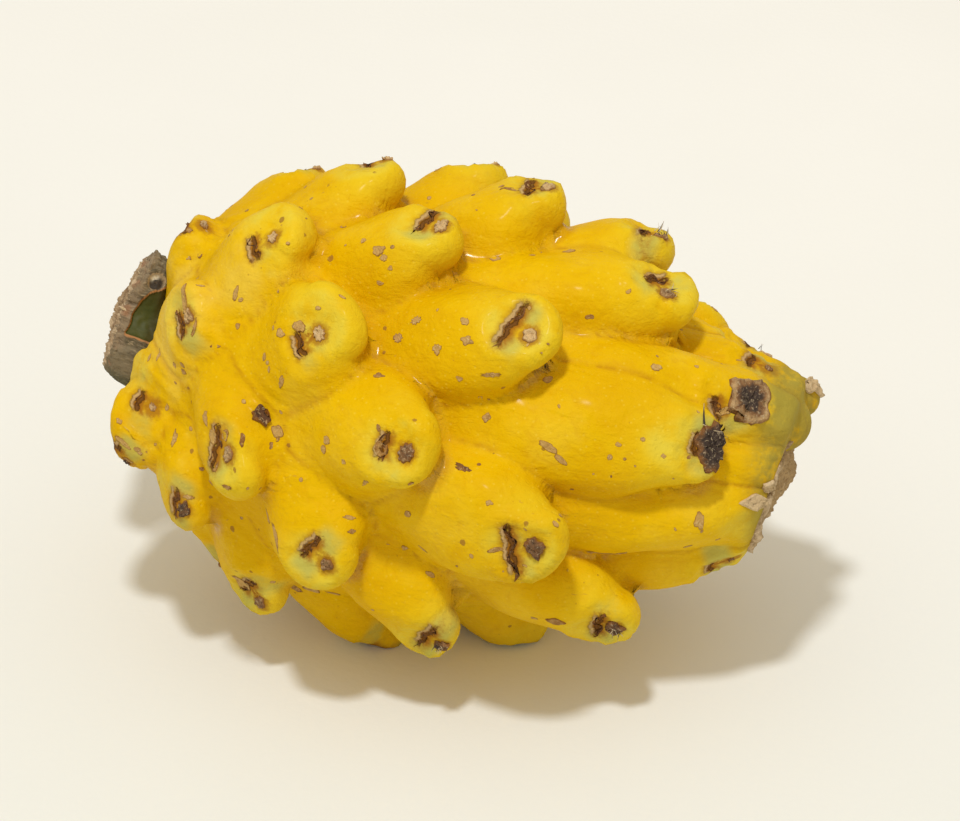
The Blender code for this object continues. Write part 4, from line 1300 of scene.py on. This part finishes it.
# Flower remains. Where the flower tube dried and dropped off, its foot stays as a cushion of tan felt
# over the cut-off ends of the last tubercles, with papery flaps along its rim and torn scraps below.

# The felt's rings go out from its middle to the rim and in again under it, where the last are sunk
FELT_AROUND = 220
FELT_RIM_SHARES = (0.93, 0.955, 0.975, 0.99, 1.0, 1.0, 0.985, 0.9, 0.0)
FELT_SHARES = np.concatenate((np.linspace(0.0, 0.9, 38), FELT_RIM_SHARES))
FELT_UNDER = 4
FELT_SUNK = -1.4
FELT_START = 20.0
felt_outward = np.array((math.cos(SCAR_TILT), 0.0, -math.sin(SCAR_TILT)))
felt_up = np.array((math.sin(SCAR_TILT), 0.0, math.cos(SCAR_TILT)))
felt_side = np.array((0.0, -1.0, 0.0))
FELT_CENTRE = np.array((SCAR_STATION, 0.0, 0.0))


def make_felt():
    """Felt cushion: its edge follows the fruit's outline in the scar's plane, wavering in and out.

    Lobes swell over the tubercles' ends with furrows between them; the rim lifts and curls in places,
    and draws back under the two upper fingers.
    """
    turn = np.arange(FELT_AROUND) * 2.0 * math.pi / FELT_AROUND
    spoke = np.cos(turn)[:, None] * felt_up + np.sin(turn)[:, None] * felt_side
    edge = reach_in(FELT_CENTRE, spoke, FELT_START, fruit_distance)[:, 0]
    edge += 0.3 * np.sin(3.0 * turn + 1.0) + 0.22 * np.sin(7.0 * turn) + 0.08 * np.sin(17.0 * turn + 2.0)
    off = (np.degrees(turn) + 185.0) % 360.0 - 180.0
    edge = (edge - 0.75) * (1.0 - 0.62 * np.exp(-((off / 52.0) ** 4)))
    share = FELT_SHARES[:, None]
    high, wide = share * edge * np.cos(turn), share * edge * np.sin(turn)
    lobes = 1.2 * np.exp(-(((high - 7.5) / 3.4) ** 2) - ((wide - 0.5) / 4.2) ** 2)
    lobes += 2.2 * np.exp(-(((high + 0.5) / 4.4) ** 2) - ((wide - 4.2) / 4.6) ** 2)
    lobes += 1.0 * np.exp(-(((high + 2.0) / 5.0) ** 2) - ((wide + 6.0) / 4.0) ** 2)
    lobes -= 0.8 * np.exp(-(((high - 3.6 - 0.2 * wide) / 0.9) ** 2))
    lobes -= 0.6 * np.exp(-(((high + 6.8 + 0.3 * wide) / 0.8) ** 2)) * (wide > -2.0)
    curl = 0.25 + 0.3 * np.sin(4.0 * turn + 0.4) + 0.15 * np.sin(9.0 * turn + 2.0)
    raised = 0.3 + lobes * (1.0 - share**6) + curl * np.exp(-(((share - 0.95) / 0.05) ** 2))
    flat = np.stack((0.0 * high, high, wide), axis=-1).reshape(-1, 3)
    rough = 0.15 * ripples(flat * (0.0, 0.35, 1.0), 0.8, 71)
    rough += 0.12 * ripples(flat * (0.0, 1.0, 0.4), 0.5, 72)
    raised = raised + rough.reshape(raised.shape) + 0.22 * ripples(flat, 3.0, 73).reshape(raised.shape)
    raised[-FELT_UNDER:] = np.array((0.1, -0.5, FELT_SUNK, FELT_SUNK))[:, None]
    raised = np.minimum(raised, 4.2 - 0.24 * high)
    grid = FELT_CENTRE + high[..., None] * felt_up + wide[..., None] * felt_side
    grid = grid + raised[..., None] * felt_outward
    marks = {"share": np.broadcast_to(share, high.shape)[None].copy(), "raised": raised[None],
             "felt_place": np.stack((raised, high, wide), axis=-1)[None]}
    return closed_forms("flower_felt", in_row_frame(grid)[None], marks)


def felt_finish():
    """Matted tan fibres, paler along the torn rim, with painted shade in the furrows."""
    material, shader, place = new_finish("flower_felt", 0.92, Specular_IOR_Level=0.2)
    spot = stored(place, "felt_place", "Vector")
    share, raised = stored(place, "share"), stored(place, "raised")
    mat = spot.squeezed(0.5, 0.35, 1.0).noise(0.4, 4.0, 0.65, 1.2)
    thread = spot.squeezed(1.0, 1.0, 0.3).noise(0.22, 3.0, 0.6, 0.6)
    coarse = spot.noise(2.2, 3.0)
    colour = coarse.rise(0.35, 0.65).stain((0.42, 0.275, 0.125), (0.53, 0.36, 0.175))
    colour = (mat.rise(0.53, 0.70) * 0.75).stain(colour, (0.72, 0.55, 0.33))
    colour = (thread.rise(0.48, 0.32) * 0.6).stain(colour, (0.24, 0.135, 0.055))
    # Painted shade where the felt lies low, in the furrows between lobes
    colour = (raised.rise(0.9, 0.1) * 0.55).stain(colour, (0.20, 0.115, 0.05))
    rim = share.rise(0.86, 0.97) * (coarse + mat).rise(0.75, 1.1)
    colour = (rim * 0.75).stain(colour, (0.74, 0.57, 0.36))
    feed(shader, place, Base_Color=colour, height=mat * 0.00035 + thread * 0.00015)
    return material


# Patches and torn scraps of the same felt cling to the tubercles' ends beside the cushion. Station and
# angle, reach along and across, turn, rise, and pointedness: 1 is an oval and more is a star
SCRAPS = (
    (105.4, -43.0, 2.0, 2.6, 0.0, 0.6, 0.9),
    (104.6, -30.0, 0.9, 1.1, 0.0, 1.2, 1.0),
    (100.8, 86.0, 2.9, 1.3, 8.0, 0.5, 1.7),
    (101.7, 95.5, 1.2, 3.6, -12.0, 0.7, 1.5),
    (101.8, 80.0, 1.1, 2.1, 20.0, 0.7, 1.5),
    (101.0, 150.0, 0.9, 1.9, 5.0, 0.5, 1.5),
    (100.8, 215.0, 1.6, 2.0, 30.0, 0.6, 1.2),
    (101.0, 290.0, 1.2, 2.4, -10.0, 0.6, 1.3),
)
SCRAP_RISES = (0.8, 0.75, 0.7, 0.75, 0.9, 1.0, 0.7, 0.2)
SCRAP_AROUND = 40
SCRAP_FELT = ((0.60, 0.44, 0.24), (0.46, 0.30, 0.14), (0.24, 0.13, 0.06), 0.0005, (0.72, 0.56, 0.35),
              (0.66, 0.52, 0.32))


def make_scraps():
    """Ovals and four-pointed ragged stars, thin and a little lifted near their edges."""
    table = np.array(SCRAPS)
    stations, angles, along, across, turns, height, pointedness = table.T
    phase = np.arange(SCRAP_AROUND) * 2.0 * math.pi / SCRAP_AROUND
    power = pointedness[:, None]
    pointed = np.stack((np.sign(np.cos(phase)) * np.abs(np.cos(phase)) ** power,
                        np.sign(np.sin(phase)) * np.abs(np.sin(phase)) ** power), axis=-1)
    reach = np.stack((along, across), axis=-1)[:, None]
    flat = pointed * reach * ragged(len(table), SCRAP_AROUND, 0.1, 75, (2, 3, 5))[..., None]
    places = settle(settle(on_skin(stations, angles)))
    axes = skin_axes(places, AHEAD)
    rises = height[:, None, None] * np.array(SCRAP_RISES)[None, :, None]
    traits = {"dark": 0.1, "lot": fair_lots(len(table)), "size": 0.0}
    outlines = turned_left(flat[..., 0], flat[..., 1], turns)
    return crusts("flower_scraps", places, axes, outlines, BUTTON_SHARES, rises, 0.12, traits, 77)


felt = make_felt()
felt.data.materials.append(felt_finish())
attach(felt, "root")
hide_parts("flower_remnant")
scraps = make_scraps()
scraps.data.materials.append(cork_finish("scrap_felt", *SCRAP_FELT))
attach(scraps, "root")


# The camera stands where the photograph's did: well back, a little to the blossom side, looking
# down at about a third of a right angle. The picture's frame is 960 by 821.
CAMERA_SIDE = math.radians(13.5)
CAMERA_RISE = math.radians(32.0)
CAMERA_AWAY = 0.62
PIXELS_PER_METRE = 6800.0
FRAME_WIDTH = 960.0
FRAME_HEIGHT = 821.0
AIM_IN_FRAME = (460.0, 415.0)
SENSOR_WIDTH = 36.0
aim = Vector((0.0020, 0.0, 0.0340))
toward = Vector((math.sin(CAMERA_SIDE) * math.cos(CAMERA_RISE),
                 -math.cos(CAMERA_SIDE) * math.cos(CAMERA_RISE), math.sin(CAMERA_RISE)))
lens = bpy.data.cameras.new("view")
lens.sensor_width = SENSOR_WIDTH
lens.lens = SENSOR_WIDTH * CAMERA_AWAY * PIXELS_PER_METRE / FRAME_WIDTH
lens.shift_x = (FRAME_WIDTH / 2.0 - AIM_IN_FRAME[0]) / FRAME_WIDTH
lens.shift_y = (AIM_IN_FRAME[1] - FRAME_HEIGHT / 2.0) / FRAME_WIDTH
camera = bpy.data.objects.new("view", lens)
camera.location = aim + toward * CAMERA_AWAY
camera.rotation_euler = (-toward).to_track_quat("-Z", "Y").to_euler()
bpy.context.scene.collection.objects.link(camera)
bpy.context.scene.camera = camera


# The floor is pale paper, with painted shade toward the front that offsets the near lamp's brighter light
# there.
# Light comes from a lamp fairly near above and a little to the front, whose spreading rays widen the
# shadow, with a soft warm fill all round, as in the photograph.
FLOOR_EDGE = 3.0


def make_floor():
    """A wide flat sheet with painted shade toward the front, where the near lamp lights it more."""
    material, shader, place = new_finish("pale_floor", 0.85)
    # Painted shade: darker toward the front, to even out the near lamp's brighter pool there
    front = place.part(1).rise(0.25, -0.16)
    tone = front.stain((0.97, 0.98, 0.96), (0.755, 0.77, 0.725))
    tone = (place.noise(0.05, 3.0).rise(0.3, 0.7) * 0.15).stain(tone, (0.86, 0.87, 0.83))
    feed(shader, place, Base_Color=tone, height=place.noise(0.0012, 3.0) * 0.00004)
    mesh = bpy.data.meshes.new("floor")
    corners = ((-1.0, -1.0), (1.0, -1.0), (1.0, 1.0), (-1.0, 1.0))
    mesh.from_pydata([(x * FLOOR_EDGE, y * FLOOR_EDGE, 0.0) for x, y in corners], [], [(0, 1, 2, 3)])
    mesh.materials.append(material)
    sheet = bpy.data.objects.new("floor", mesh)
    bpy.context.scene.collection.objects.link(sheet)


make_floor()
key = bpy.data.lights.new("key", "POINT")
key.energy = 8.8
key.shadow_soft_size = 0.032
key.color = (0.96, 0.985, 1.02)
key_light = bpy.data.objects.new("key", key)
key_light.location = Vector((0.0, -0.235, 0.635))
bpy.context.scene.collection.objects.link(key_light)
fill = bpy.data.worlds.new("fill")
fill.use_nodes = True
fill.node_tree.nodes["Background"].inputs["Color"].default_value = (1.0, 0.91, 0.765, 1.0)
fill.node_tree.nodes["Background"].inputs["Strength"].default_value = 0.70
bpy.context.scene.world = fill
bpy.context.scene.view_settings.view_transform = "Standard"
